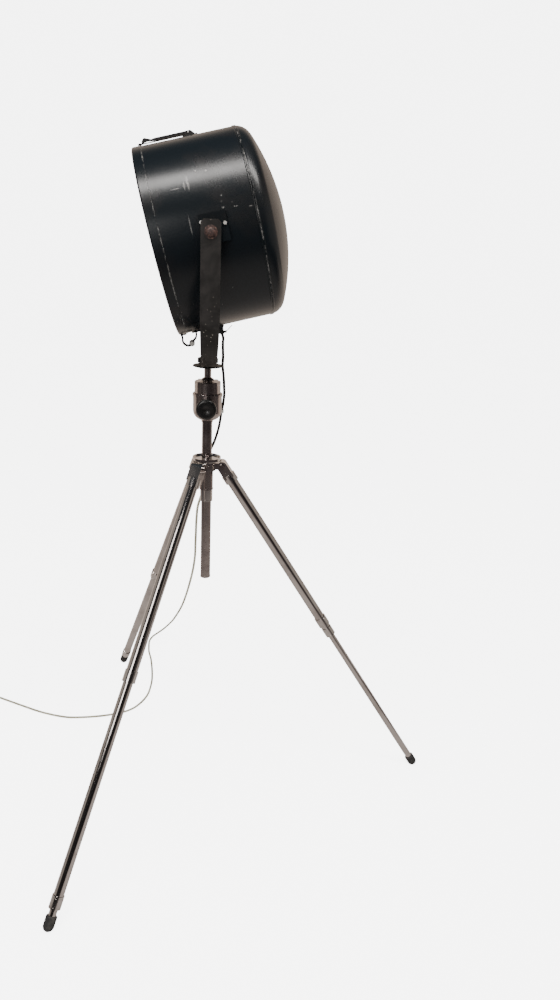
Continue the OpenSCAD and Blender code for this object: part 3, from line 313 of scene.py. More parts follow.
# %% Scratches and chips
wear, ins, outs = new_group("scratches and chips", [
    ("Vector", VECTOR, None), ("Stretch", VECTOR, (1.0, 1.0, 0.06)), ("Scratch Scale", VALUE, 240.0),
    ("Scratch Level", VALUE, 0.71), ("Chip Scale", VALUE, 55.0), ("Chip Size", VALUE, 0.10),
    ("Gathering", VALUE, 0.52)], [("Scratches", VALUE), ("Chips", VALUE)])
stretched = add_node(wear, "ShaderNodeVectorMath", operation="MULTIPLY")
scratch_noise = add_node(wear, "ShaderNodeTexNoise", {"Detail": 2.0, "Roughness": 0.5, "Distortion": 0.15})
scratch_cut = add_node(wear, "ShaderNodeMapRange")
scratch_top = add_node(wear, "ShaderNodeMath", {1: 0.03}, operation="ADD")
chip_cells = add_node(wear, "ShaderNodeTexVoronoi", {"Randomness": 1.0})
chip_shape = add_node(wear, "ShaderNodeTexNoise", {"Detail": 2.0, "Scale": 700.0})
chip_bend = add_node(wear, "ShaderNodeMath", {1: 0.22, 2: -0.11}, operation="MULTIPLY_ADD")
chip_distance = add_node(wear, "ShaderNodeMath", operation="ADD")
chip_cut = add_node(wear, "ShaderNodeMath", operation="LESS_THAN")
gather_noise = add_node(wear, "ShaderNodeTexNoise", {"Scale": 7.0, "Detail": 3.0, "Roughness": 0.7})
gather_cut = add_node(wear, "ShaderNodeMapRange", interpolation_type="SMOOTHSTEP")
gather_top = add_node(wear, "ShaderNodeMath", {1: 0.09}, operation="ADD")
scratches_here = add_node(wear, "ShaderNodeMath", operation="MULTIPLY", use_clamp=True)
chips_here = add_node(wear, "ShaderNodeMath", operation="MULTIPLY", use_clamp=True)
join(wear, ins, "Vector", stretched, 0)
join(wear, ins, "Stretch", stretched, 1)
join(wear, stretched, 0, scratch_noise, "Vector")
join(wear, ins, "Scratch Scale", scratch_noise, "Scale")
join(wear, ins, "Scratch Level", scratch_top, 0)
join(wear, scratch_noise, "Fac", scratch_cut, "Value")
join(wear, ins, "Scratch Level", scratch_cut, "From Min")
join(wear, scratch_top, 0, scratch_cut, "From Max")
join(wear, ins, "Vector", chip_cells, "Vector")
join(wear, ins, "Chip Scale", chip_cells, "Scale")
join(wear, ins, "Vector", chip_shape, "Vector")
join(wear, chip_shape, "Fac", chip_bend, 0)
join(wear, chip_cells, "Distance", chip_distance, 0)
join(wear, chip_bend, 0, chip_distance, 1)
join(wear, chip_distance, 0, chip_cut, 0)
join(wear, ins, "Chip Size", chip_cut, 1)
join(wear, ins, "Vector", gather_noise, "Vector")
join(wear, ins, "Gathering", gather_top, 0)
join(wear, gather_noise, "Fac", gather_cut, "Value")
join(wear, ins, "Gathering", gather_cut, "From Min")
join(wear, gather_top, 0, gather_cut, "From Max")
join(wear, scratch_cut, 0, scratches_here, 0)
join(wear, gather_cut, 0, scratches_here, 1)
join(wear, chip_cut, 0, chips_here, 0)
join(wear, gather_cut, 0, chips_here, 1)
join(wear, scratches_here, 0, outs, "Scratches")
join(wear, chips_here, 0, outs, "Chips")
print("group:", wear.name, len(wear.nodes), "nodes")

# %% [markdown]
# The drum is dipped and stoved in a blue-black enamel. It is smooth but not flat: the sheet is slightly
# wavy, so a reflection on it has soft, streaky edges. Rubbed places are duller and browner, and knocks
# show pale metal. The pattern is laid out along the drum's own axis, so streaks run round the drum.

# %% A finish with soiling, scratches and chips
def own_axes(finish, place):
    tree = finish.node_tree
    where = add_node(tree, "ShaderNodeTexCoord")
    in_place = {"Location": place.translation, "Rotation": place.to_euler("XYZ")}
    own = add_node(tree, "ShaderNodeMapping", in_place, vector_type="TEXTURE")
    join(tree, where, "Object", own, "Vector")
    return own


def mix_colour(tree, mask_node, mask, before, after):
    mix = add_node(tree, "ShaderNodeMix", data_type="RGBA")
    mix.inputs[7].default_value = (*after, 1)
    join(tree, mask_node, mask, mix, 0)
    if isinstance(before, tuple):
        mix.inputs[6].default_value = (*before, 1)
    else:
        tree.links.new(before, mix.inputs[6])
    return mix.outputs[2]


def worn_paint(name, colour, rubbed, bare, roughness, place, patches=(9.0, 0.55), grain=900.0,
               stretch=(1.0, 1.0, 0.06), scratch=(240.0, 0.71), chip=(55.0, 0.10), gathering=0.52,
               dull=0.15, bump=0.05, bump_depth=0.0004, level=0.35):
    finish = new_finish(name, colour, roughness, Specular_IOR_Level=level)
    tree = finish.node_tree
    shader = tree.nodes["Principled BSDF"]
    where = own_axes(finish, place)
    soil = add_node(tree, "ShaderNodeGroup", node_tree=soiling)
    soil.inputs["Patch Scale"].default_value = patches[0]
    soil.inputs["Patch Edge"].default_value = patches[1]
    soil.inputs["Grain Scale"].default_value = grain
    marks = add_node(tree, "ShaderNodeGroup", node_tree=wear)
    marks.inputs["Stretch"].default_value = stretch
    marks.inputs["Scratch Scale"].default_value = scratch[0]
    marks.inputs["Scratch Level"].default_value = scratch[1]
    marks.inputs["Chip Scale"].default_value = chip[0]
    marks.inputs["Chip Size"].default_value = chip[1]
    marks.inputs["Gathering"].default_value = gathering
    for group in (soil, marks):
        join(tree, where, "Vector", group, "Vector")
    tone = mix_colour(tree, soil, "Patches", colour, rubbed)
    tone = mix_colour(tree, marks, "Scratches", tone, tuple(0.5 * c for c in bare))
    tone = mix_colour(tree, marks, "Chips", tone, bare)
    tree.links.new(tone, shader.inputs["Base Color"])
    duller = add_node(tree, "ShaderNodeMath", {1: dull, 2: roughness}, operation="MULTIPLY_ADD")
    join(tree, soil, "Patches", duller, 0)
    rough = add_node(tree, "ShaderNodeMath", {1: 0.3}, operation="MULTIPLY_ADD")
    join(tree, marks, "Chips", rough, 0)
    join(tree, duller, 0, rough, 2)
    join(tree, rough, 0, shader, "Roughness")
    relief = add_node(tree, "ShaderNodeBump", {"Strength": bump, "Distance": bump_depth})
    join(tree, soil, "Height", relief, "Height")
    join(tree, relief, "Normal", shader, "Normal")
    return finish, tone, where


enamel, enamel_tone, enamel_axes = worn_paint(
    "drum enamel", (0.0040, 0.0062, 0.0080), (0.0080, 0.0075, 0.0078), (0.30, 0.30, 0.29), 0.25, drum_place,
    patches=(6.0, 0.58), stretch=(1.0, 0.08, 0.12), scratch=(330.0, 0.74), chip=(60.0, 0.10),
    gathering=0.60, dull=0.05, bump=0.12, bump_depth=0.0006)
yoke_paint = worn_paint(
    "yoke paint", (0.0085, 0.0072, 0.0065), (0.018, 0.015, 0.0135), (0.30, 0.27, 0.23), 0.46, drum_place,
    patches=(22.0, 0.52), chip=(150.0, 0.13), gathering=0.50, scratch=(300.0, 0.72), bump=0.25,
    bump_depth=0.0006)[0]
black_steel = worn_paint(
    "blackened steel", (0.0045, 0.0042, 0.0042), (0.010, 0.009, 0.0085), (0.25, 0.24, 0.23), 0.42,
    Matrix.Identity(4), patches=(35.0, 0.5), chip=(220.0, 0.12), gathering=0.55, bump=0.2,
    bump_depth=0.0005)[0]
print("painted finishes:", enamel.name, yoke_paint.name, black_steel.name)

# %% [markdown]
# Paint wears first where sheet metal stands proud. Two lines round the drum, at the beads of its seams,
# are rubbed to a pale grey, and a few scuffs and dots sit on the near side where a hand or a stand has
# touched it. A scuff is an ellipse: its place along and above the drum's middle, and its half width and
# half height, all in metres in the drum's own frame.

# %% Rubbed seams and scuffs
SEAM_PLACE, SEAM_HALF_WIDTH = 0.0985, 0.0012
SCUFFS = ((-0.0225, 0.097, 0.0028, 0.013), (-0.030, 0.092, 0.002, 0.007), (-0.0025, 0.115, 0.0020, 0.0020),
          (0.018, 0.112, 0.0022, 0.0018), (0.034, 0.039, 0.0026, 0.0018), (0.059, 0.0365, 0.0040, 0.0010),
          (0.0877, 0.031, 0.0035, 0.0009), (-0.036, 0.020, 0.0012, 0.016), (-0.048, 0.090, 0.010, 0.0012))
tree, tone, where = enamel.node_tree, enamel_tone, enamel_axes
spot = add_node(tree, "ShaderNodeSeparateXYZ")
join(tree, where, "Vector", spot, 0)
along = add_node(tree, "ShaderNodeMath", operation="ABSOLUTE")
join(tree, spot, "X", along, 0)
on_seam = add_node(tree, "ShaderNodeMath", {1: SEAM_PLACE, 2: SEAM_HALF_WIDTH}, operation="COMPARE")
join(tree, along, 0, on_seam, 0)
broken = add_node(tree, "ShaderNodeTexNoise", {"Scale": 45.0, "Detail": 5.0, "Roughness": 0.7})
join(tree, where, "Vector", broken, "Vector")
patchy = add_node(tree, "ShaderNodeMapRange", {"From Min": 0.46, "From Max": 0.58, "To Max": 0.9})
join(tree, broken, "Fac", patchy, "Value")
seam_mask = add_node(tree, "ShaderNodeMath", operation="MULTIPLY")
join(tree, on_seam, 0, seam_mask, 0)
join(tree, patchy, "Result", seam_mask, 1)
near_side = add_node(tree, "ShaderNodeMath", {1: 0.0}, operation="LESS_THAN")
join(tree, spot, "Y", near_side, 0)
flat = add_node(tree, "ShaderNodeCombineXYZ")
join(tree, spot, "X", flat, "X")
join(tree, spot, "Z", flat, "Y")
scuff_mask = seam_mask
for x, z, half_width, half_height in SCUFFS:
    ellipse = {"Location": (x, z, 0), "Scale": (half_width, half_height, 1)}
    centred = add_node(tree, "ShaderNodeMapping", ellipse, vector_type="TEXTURE")
    radius = add_node(tree, "ShaderNodeVectorMath", operation="LENGTH")
    inside = add_node(tree, "ShaderNodeMapRange", {"From Min": 1.3, "From Max": 0.5, "To Max": 0.8})
    either_mark = add_node(tree, "ShaderNodeMath", operation="MAXIMUM")
    one_side = add_node(tree, "ShaderNodeMath", operation="MULTIPLY")
    join(tree, flat, 0, centred, "Vector")
    join(tree, centred, "Vector", radius, 0)
    tree.links.new(radius.outputs["Value"], inside.inputs["Value"])
    join(tree, inside, "Result", one_side, 0)
    join(tree, near_side, 0, one_side, 1)
    join(tree, one_side, 0, either_mark, 0)
    join(tree, scuff_mask, 0, either_mark, 1)
    scuff_mask = either_mark
fine = add_node(tree, "ShaderNodeTexNoise", {"Scale": 700.0, "Detail": 3.0})
join(tree, where, "Vector", fine, "Vector")
grainy = add_node(tree, "ShaderNodeMapRange", {"From Min": 0.40, "From Max": 0.56})
join(tree, fine, "Fac", grainy, "Value")
rubbed_mask = add_node(tree, "ShaderNodeMath", operation="MULTIPLY")
join(tree, scuff_mask, 0, rubbed_mask, 0)
join(tree, grainy, "Result", rubbed_mask, 1)
rubbed_tone = mix_colour(tree, rubbed_mask, 0, tone, (0.22, 0.21, 0.20))
tree.links.new(rubbed_tone, tree.nodes["Principled BSDF"].inputs["Base Color"])
print("scuffs:", len(SCUFFS))

# %% [markdown]
# The legs, the column and the head are chromed. Old plating reflects brownish and is covered with tiny
# pits, each with a dark spot of rust, and it is duller where it was handled. The pits are the cells of a
# Voronoi pattern that lie close to a cell's middle, kept only where a slow noise allows them.

# %% Pitted plating
pitting, ins, outs = new_group("pits", [
    ("Vector", VECTOR, None), ("Pit Scale", VALUE, 420.0), ("Pit Size", VALUE, 0.2),
    ("Gathering", VALUE, 0.5)], [("Pits", VALUE)])
pit_cells = add_node(pitting, "ShaderNodeTexVoronoi", {"Randomness": 1.0})
pit_cut = add_node(pitting, "ShaderNodeMath", operation="LESS_THAN")
pit_places = add_node(pitting, "ShaderNodeTexNoise", {"Scale": 16.0, "Detail": 4.0, "Roughness": 0.7})
pit_range = add_node(pitting, "ShaderNodeMath", operation="GREATER_THAN")
pit_both = add_node(pitting, "ShaderNodeMath", operation="MULTIPLY")
join(pitting, ins, "Vector", pit_cells, "Vector")
join(pitting, ins, "Pit Scale", pit_cells, "Scale")
join(pitting, pit_cells, "Distance", pit_cut, 0)
join(pitting, ins, "Pit Size", pit_cut, 1)
join(pitting, ins, "Vector", pit_places, "Vector")
join(pitting, pit_places, "Fac", pit_range, 0)
join(pitting, ins, "Gathering", pit_range, 1)
join(pitting, pit_cut, 0, pit_both, 0)
join(pitting, pit_range, 0, pit_both, 1)
join(pitting, pit_both, 0, outs, "Pits")


def plated(name, colour, dulled, roughness, dull, pit_size, pit_gathering):
    finish = new_finish(name, colour, roughness, metallic=1.0)
    tree = finish.node_tree
    shader = tree.nodes["Principled BSDF"]
    where = add_node(tree, "ShaderNodeTexCoord")
    soil = add_node(tree, "ShaderNodeGroup", node_tree=soiling)
    soil.inputs["Patch Scale"].default_value = 14.0
    soil.inputs["Patch Edge"].default_value = 0.55
    soil.inputs["Grain Scale"].default_value = 1400.0
    pits = add_node(tree, "ShaderNodeGroup", node_tree=pitting)
    pits.inputs["Pit Size"].default_value = pit_size
    pits.inputs["Gathering"].default_value = pit_gathering
    for group in (soil, pits):
        join(tree, where, "Object", group, "Vector")
    tone = mix_colour(tree, soil, "Patches", colour, dulled)
    tone = mix_colour(tree, pits, "Pits", tone, (0.10, 0.065, 0.045))
    tree.links.new(tone, shader.inputs["Base Color"])
    duller = add_node(tree, "ShaderNodeMath", {1: dull, 2: roughness}, operation="MULTIPLY_ADD")
    join(tree, soil, "Patches", duller, 0)
    rough = add_node(tree, "ShaderNodeMath", {1: 0.35}, operation="MULTIPLY_ADD")
    join(tree, pits, "Pits", rough, 0)
    join(tree, duller, 0, rough, 2)
    join(tree, rough, 0, shader, "Roughness")
    relief = add_node(tree, "ShaderNodeBump", {"Strength": 0.05, "Distance": 0.0004})
    join(tree, soil, "Height", relief, "Height")
    join(tree, relief, "Normal", shader, "Normal")
    return finish


leg_chrome = plated("leg chrome", (0.66, 0.62, 0.60), (0.50, 0.46, 0.44), 0.10, 0.10, 0.16, 0.56)
column_chrome = plated("column chrome", (0.42, 0.38, 0.37), (0.32, 0.285, 0.28), 0.20, 0.14, 0.24, 0.47)
head_chrome = plated("head chrome", (0.52, 0.47, 0.45), (0.38, 0.33, 0.32), 0.16, 0.12, 0.22, 0.50)
ring_chrome = plated("ring chrome", (0.72, 0.69, 0.67), (0.60, 0.56, 0.54), 0.12, 0.10, 0.14, 0.58)
spun_aluminium = plated("spun aluminium", (0.80, 0.80, 0.80), (0.68, 0.68, 0.68), 0.16, 0.10, 0.08, 0.64)
pin_brass = plated("pin brass", (0.72, 0.56, 0.28), (0.55, 0.42, 0.22), 0.22, 0.15, 0.10, 0.6)
zinc = plated("dull zinc", (0.86, 0.84, 0.80), (0.60, 0.58, 0.55), 0.48, 0.30, 0.10, 0.6)
print("finishes with the plated ones:", len(bpy.data.materials))

# %% [markdown]
# The two bolts that carry the drum have lost their plating and are covered with dry red-brown rust. Rust
# is never one colour: dark, orange and grey grains lie side by side, and the surface is rough and grainy.

# %% Rusty steel
rust = new_finish("rusty steel", (0.16, 0.07, 0.045), 0.7)
tree = rust.node_tree
where = add_node(tree, "ShaderNodeTexCoord")
coarse = add_node(tree, "ShaderNodeTexNoise", {"Scale": 240.0, "Detail": 6.0, "Roughness": 0.7})
fine = add_node(tree, "ShaderNodeTexNoise", {"Scale": 1500.0, "Detail": 3.0, "Roughness": 0.7})
ramp = add_node(tree, "ShaderNodeValToRGB")
stops = ramp.color_ramp.elements
stops[0].position, stops[0].color = 0.36, (0.012, 0.006, 0.005, 1)
stops[1].position, stops[1].color = 0.72, (0.20, 0.14, 0.12, 1)
stops.new(0.50).color = (0.040, 0.018, 0.014, 1)
stops.new(0.60).color = (0.090, 0.042, 0.030, 1)
steel_mask = add_node(tree, "ShaderNodeMapRange", {"From Min": 0.60, "From Max": 0.70, "To Max": 0.7})
rust_rough = add_node(tree, "ShaderNodeMapRange", {
    "From Min": 0.3, "From Max": 0.7, "To Min": 0.78, "To Max": 0.42})
relief = add_node(tree, "ShaderNodeBump", {"Strength": 0.6, "Distance": 0.0006})
shader = tree.nodes["Principled BSDF"]
join(tree, where, "Object", coarse, "Vector")
join(tree, where, "Object", fine, "Vector")
join(tree, coarse, "Fac", ramp, "Fac")
join(tree, coarse, "Fac", steel_mask, "Value")
join(tree, coarse, "Fac", rust_rough, "Value")
join(tree, fine, "Fac", relief, "Height")
join(tree, ramp, "Color", shader, "Base Color")
join(tree, steel_mask, "Result", shader, "Metallic")
join(tree, rust_rough, "Result", shader, "Roughness")
join(tree, relief, "Normal", shader, "Normal")
print("rust stops:", len(ramp.color_ramp.elements))

# %% [markdown]
# Rubber, moulded plastic, ceramic and the cord's sheath are plain mouldings: one colour with a little
# cloudiness, and a fine grain in the surface that breaks the highlight up.

# %% Moulded finishes
def moulded(name, colour, dusty, roughness, patches=(30.0, 0.55), grain=1100.0, dull=0.15, bump=0.15,
            level=0.5, **sockets):
    finish = new_finish(name, colour, roughness, Specular_IOR_Level=level, **sockets)
    tree = finish.node_tree
    shader = tree.nodes["Principled BSDF"]
    where = add_node(tree, "ShaderNodeTexCoord")
    soil = add_node(tree, "ShaderNodeGroup", node_tree=soiling)
    soil.inputs["Patch Scale"].default_value = patches[0]
    soil.inputs["Patch Edge"].default_value = patches[1]
    soil.inputs["Grain Scale"].default_value = grain
    join(tree, where, "Object", soil, "Vector")
    tone = mix_colour(tree, soil, "Patches", colour, dusty)
    tree.links.new(tone, shader.inputs["Base Color"])
    duller = add_node(tree, "ShaderNodeMath", {1: dull, 2: roughness}, operation="MULTIPLY_ADD")
    join(tree, soil, "Patches", duller, 0)
    join(tree, duller, 0, shader, "Roughness")
    relief = add_node(tree, "ShaderNodeBump", {"Strength": bump, "Distance": 0.0003})
    join(tree, soil, "Grain", relief, "Height")
    join(tree, relief, "Normal", shader, "Normal")
    return finish


foot_rubber = moulded("foot rubber", (0.018, 0.017, 0.017), (0.055, 0.050, 0.045), 0.72, patches=(60.0, 0.55))
seal_rubber = moulded("seal rubber", (0.014, 0.014, 0.014), (0.030, 0.028, 0.026), 0.65)
bakelite = moulded("black bakelite", (0.006, 0.006, 0.006), (0.012, 0.011, 0.010), 0.22, bump=0.05)
black_plastic = moulded("black plastic", (0.010, 0.010, 0.010), (0.022, 0.021, 0.020), 0.38)
ceramic = moulded("glazed ceramic", (0.82, 0.80, 0.74), (0.74, 0.71, 0.63), 0.18, bump=0.03)
clip_plastic = moulded("clip plastic", (0.62, 0.60, 0.54), (0.48, 0.45, 0.39), 0.45)
print("finishes with the moulded ones:", len(bpy.data.materials))

# %% [markdown]
# The cord is cream plastic that has yellowed to olive. Its upper end hangs in the shade of the drum, and that
# shade is painted into its colour: above a height it turns near black, with a soft edge.

# %% Cord sheath
# Painted shade: above these heights, in metres, the cord's colour turns near black, for the shade under the
# drum.
PAINTED_SHADE_LOW, PAINTED_SHADE_HIGH = 0.905, 0.935
cord_sheath = moulded("cord sheath", (0.50, 0.47, 0.35), (0.36, 0.33, 0.23), 0.42, patches=(18.0, 0.52),
                      bump=0.08, level=0.4)
tree = cord_sheath.node_tree
shader = tree.nodes["Principled BSDF"]
where = add_node(tree, "ShaderNodeTexCoord")
place = add_node(tree, "ShaderNodeSeparateXYZ")
dark = add_node(tree, "ShaderNodeMapRange", {"From Min": PAINTED_SHADE_LOW, "From Max": PAINTED_SHADE_HIGH})
join(tree, where, "Object", place, "Vector")
join(tree, place, "Z", dark, "Value")
cream = shader.inputs["Base Color"].links[0].from_socket
# Painted shade: the near-black colour given to the cord's upper end.
tone = mix_colour(tree, dark, "Result", cream, (0.014, 0.011, 0.009))
tree.links.new(tone, shader.inputs["Base Color"])
print("dark above", PAINTED_SHADE_HIGH, "m")

# %% [markdown]
# Glass is given its real refraction. The front lens is a thick slab of clear glass, and the bulb's
# envelope is frosted white, so its light is even. Both keep a plain transmission, and dust dulls them.

# %% Glass
front_glass = new_finish("front glass", (0.93, 0.97, 0.96), 0.02, Transmission_Weight=1.0, IOR=1.5)
lamp_glass = new_finish("lamp glass", (0.93, 0.92, 0.88), 0.30, Transmission_Weight=0.55, IOR=1.45)
for finish, scale in ((front_glass, 22.0), (lamp_glass, 60.0)):
    tree = finish.node_tree
    shader = tree.nodes["Principled BSDF"]
    clean = shader.inputs["Roughness"].default_value
    where = add_node(tree, "ShaderNodeTexCoord")
    dust = add_node(tree, "ShaderNodeTexNoise", {"Scale": scale, "Detail": 6.0, "Roughness": 0.75})
    smear = add_node(tree, "ShaderNodeMapRange", {
        "From Min": 0.45, "From Max": 0.75, "To Min": clean, "To Max": 0.34})
    relief = add_node(tree, "ShaderNodeBump", {"Strength": 0.1, "Distance": 0.0002})
    join(tree, where, "Object", dust, "Vector")
    join(tree, dust, "Fac", smear, "Value")
    join(tree, smear, "Result", shader, "Roughness")
    join(tree, dust, "Fac", relief, "Height")
    join(tree, relief, "Normal", shader, "Normal")
print("glass:", front_glass.name, lamp_glass.name)

# %% [markdown]
# Several fittings of the real lamp were turned on a lathe or moulded in a round mould. Each is drawn here
# as half of its outline, spun round its axis, and then carried to its place.

# %% Turning and settling
def turned(name, outline, sides):
    corners = [(radius / 1000, 0, height / 1000) for radius, height in outline]
    mesh = bpy.data.meshes.new(name)
    mesh.from_pydata(corners, [(n, n + 1) for n in range(len(corners) - 1)], [])
    piece = bpy.data.objects.new(name, mesh)
    bpy.context.scene.collection.objects.link(piece)
    pick(piece)
    bpy.ops.object.mode_set(mode="EDIT")
    bpy.ops.mesh.select_all(action="SELECT")
    bpy.ops.mesh.spin(steps=sides, angle=2 * pi, center=(0, 0, 0), axis=(0, 0, 1))
    bpy.ops.mesh.select_all(action="SELECT")
    bpy.ops.mesh.remove_doubles(threshold=0.000002)
    bpy.ops.mesh.normals_make_consistent(inside=False)
    bpy.ops.object.mode_set(mode="OBJECT")
    bpy.ops.object.shade_smooth_by_angle(angle=radians(35))
    return piece


def settle(piece, place, body, finish):
    piece.data.transform(place)
    piece.data.materials.append(finish)
    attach(piece, body)


def turn(degrees, axis):
    return Matrix.Rotation(radians(degrees), 4, axis)


def shift(x, y, z):
    return Matrix.Translation((x / 1000, y / 1000, z / 1000))


print("shift of 1 mm:", shift(1, 0, 0).translation[0])

# %% [markdown]
# The cord enters the drum through a moulded rubber gland. Inside the sheet it has a flange, outside a
# collar and a tapered sleeve with rings, which lets the cord bend without breaking.

# %% Strain relief
outline = [(3.5, 4.8), (11.1, 4.8), (11.5, 4.4), (11.5, 1.8),
           (8.5, 1.8), (8.5, -4.3), (7.8, -5.0), (6.5, -5.0)]
for ring in range(6):
    top = -5.6 - 2.5 * ring
    ring_radius = 6.4 - 0.24 * ring
    outline += [(ring_radius - 0.9, top), (ring_radius, top - 0.3), (ring_radius - 0.08, top - 1.5),
                (ring_radius - 0.95, top - 1.8)]
outline += [(4.6, -20.6), (4.2, -21.0), (3.5, -21.0), (3.5, 4.8)]
relief_piece = turned("strain_relief_ribbed", outline, 40)
gland_place = drum_place @ shift(-GLAND_BACK, 0, -DRUM_RADIUS)
settle(relief_piece, gland_place, "drum", black_plastic)
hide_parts("strain_relief")
print("strain relief faces:", len(relief_piece.data.polygons))

# %% [markdown]
# The drum hangs on two bolts. Each is a stack of turned steel: a plain washer, a spring ring on top of it,
# and a domed head. One stack is modelled, and the other is a copy with its own mesh.

# %% Trunnion bolts
pin_outline = [(0, 195), (5, 195), (5, 217.3)]
washer_outline = [(12.6, 217.3), (13, 217.7), (13, 218.5), (12.6, 218.9)]
spring_ring_outline = [(10.6, 218.9), (10.9, 219.2), (10.9, 220.0), (10.6, 220.3)]
head_outline = [(8.3, 220.3), (8.9, 220.9), (8.9, 222.8), (8.2, 224.2), (6.3, 225.2),
                (3.3, 225.8), (0, 225.9)]
outline = pin_outline + washer_outline + spring_ring_outline + head_outline
bolt_near = turned("trunnion_bolt_near", outline, 48)
bolt_far = bolt_near.copy()
bolt_far.data = bolt_near.data.copy()
bolt_far.name = "trunnion_bolt_far"
bpy.context.scene.collection.objects.link(bolt_far)
settle(bolt_near, drum_place @ turn(90, "X"), "drum", rust)
settle(bolt_far, drum_place @ turn(-90, "X"), "drum", rust)
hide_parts("trunnion_bolts")
print("bolt faces:", len(bolt_near.data.polygons))

# %% [markdown]
# The locking knob of the ball head is pressed bakelite. Its rim has shallow grooves for the fingers: one
# face in three is selected and sunk. A dished face closes the front.

# %% Locking knob
outline = [(0, 0), (18, 0), (20.6, 0.8), (23.1, 2.6), (24, 5), (24, 13.5), (23.2, 16.4), (21.2, 18.3),
           (18.6, 19), (8.4, 19), (7.6, 18.6), (6, 17.5), (0, 17.5)]
knob = turned("lock_knob_grooved", outline, 72)
bpy.ops.object.mode_set(mode="EDIT")
bpy.ops.mesh.select_mode(type="FACE")
bpy.ops.mesh.select_all(action="DESELECT")
bpy.ops.object.mode_set(mode="OBJECT")
rim = [face for face in knob.data.polygons if abs(face.normal.z) < 0.1 and face.center.xy.length > 0.023]
rim.sort(key=lambda face: face.center.xy.angle_signed(Vector((1, 0))))
for face in rim[::3]:
    face.select = True
bpy.ops.object.mode_set(mode="EDIT")
bpy.ops.mesh.inset(thickness=0.00035, depth=-0.0008)
bpy.ops.mesh.select_all(action="DESELECT")
bpy.ops.object.mode_set(mode="OBJECT")
knob_place = shift(COLUMN_X, 0, HEAD_Z + KNOB_LIFT) @ turn(90, "X") @ shift(0, 0, KNOB_REACH)
settle(knob, knob_place, "knob", bakelite)
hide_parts("lock_knob")
print("grooves:", len(rim[::3]))

# %% [markdown]
# The plug lies on its back with its pins up. Its shell is moulded: the outline is extruded, every edge is
# rounded, and a ribbed sleeve guards the cord where it enters.

# %% Plug
plug_outline = [(12, -11), (21, -23), (54, -23), (58, -19), (58, 19), (54, 23), (21, 23), (12, 11)]
mesh = bpy.data.meshes.new("plug_moulded")
mesh.from_pydata([(x / 1000, y / 1000, 0) for x, y in plug_outline], [], [range(len(plug_outline))])
plug = bpy.data.objects.new("plug_moulded", mesh)
bpy.context.scene.collection.objects.link(plug)
pick(plug)
bpy.ops.object.mode_set(mode="EDIT")
bpy.ops.mesh.select_all(action="SELECT")
bpy.ops.mesh.extrude_region_move(TRANSFORM_OT_translate={"value": (0, 0, 0.019)})
bpy.ops.mesh.select_all(action="SELECT")
bpy.ops.mesh.normals_make_consistent(inside=False)
bpy.ops.mesh.bevel(offset=0.0024, segments=3, affect="EDGES")
bpy.ops.object.mode_set(mode="OBJECT")
bpy.ops.object.shade_smooth_by_angle(angle=radians(35))
outline = [(0, -2), (6.6, -2), (7, 0)]
for ring in range(5):
    top = 1.2 + 2.4 * ring
    ring_radius = 6.8 - 0.40 * ring
    outline += [(ring_radius - 0.8, top), (ring_radius, top + 0.3), (ring_radius - 0.1, top + 1.4),
                (ring_radius - 0.9, top + 1.7)]
outline += [(4.3, 13.6), (3.4, 13.9), (3.4, 8.0), (0, 8.0)]
sleeve = turned("plug_sleeve", outline, 32)
plug_end = coil_point(COIL_LOOPS) + COIL_TAIL / 1000 * plug_way
plug_place = (Matrix.Translation((plug_end.x, plug_end.y, 0))
              @ Matrix.Rotation(plug_way.xy.angle_signed(Vector((1, 0))), 4, "Z"))
sleeve.data.transform(shift(14, 0, 1000 * plug_end.z) @ turn(-90, "Y"))
pick(plug, sleeve)
bpy.ops.object.join()
settle(plug, plug_place, "tripod", black_plastic)
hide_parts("plug")
print("plug at:", [round(v, 4) for v in plug_end])

# %% [markdown]
# Each solid of the lamp now gets its finish. The solid itself isn't touched: only the material in its
# slots changes.

# %% Dress the solids
LEGS = ("n", "r", "f")
dress = {
    "crown": ring_chrome, "column_sleeve": column_chrome, "crown_bolts": head_chrome,
    "clamp_collar": ring_chrome, "column_tube": column_chrome, "column_end_cap": head_chrome,
    "head_body": head_chrome, "head_cap": head_chrome, "ball_stud": head_chrome, "knob_shank": head_chrome,
    "lock_knob": bakelite, "cord_clip": clip_plastic, "platform_disc": black_steel, "yoke_nut": black_steel,
    "yoke": yoke_paint, "trunnion_bolts": rust, "trunnion_pads": enamel, "drum_shell": enamel,
    "rear_cover": enamel, "door_bezel": enamel, "reflector": spun_aluminium,
    "lampholder_bracket": black_steel, "lampholder": ceramic, "lamp_bulb": lamp_glass,
    "strain_relief": black_plastic, "cable_tie": black_plastic, "hinge_leaf_drum": black_steel,
    "hinge_leaf_door": black_steel, "catch_base": black_steel, "catch_lever": black_steel,
    "catch_link": black_steel, "drum_fixings": zinc, "door_glass": front_glass,
    "glass_seal": seal_rubber, "cord_upper": cord_sheath, "cord_drop": cord_sheath,
    "cord_coil": cord_sheath, "plug": black_plastic, "plug_pins": pin_brass,
}
for leg in LEGS:
    dress[f"leg_{leg}_bracket"] = ring_chrome
    dress[f"leg_{leg}_foot"] = foot_rubber
    for part in ("upper", "middle", "lower"):
        dress[f"leg_{leg}_{part}"] = leg_chrome
    for part in ("collar_1", "collar_2"):
        dress[f"leg_{leg}_{part}"] = ring_chrome
for name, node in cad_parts.items():
    node.data.materials.clear()
    node.data.materials.append(dress[name])
for cord in (*leads, main_cord):
    cord.data.materials.append(cord_sheath)
print("solids dressed:", len(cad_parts))

# %% [markdown]
# The light is a studio's. The surroundings are pale for the camera, soft white for the light they give,
# and for reflections they are a room: a warm wall behind the lamp, dim screens to left and right, and a
# dark side where the camera stands. That contrast is what makes chrome look like chrome.

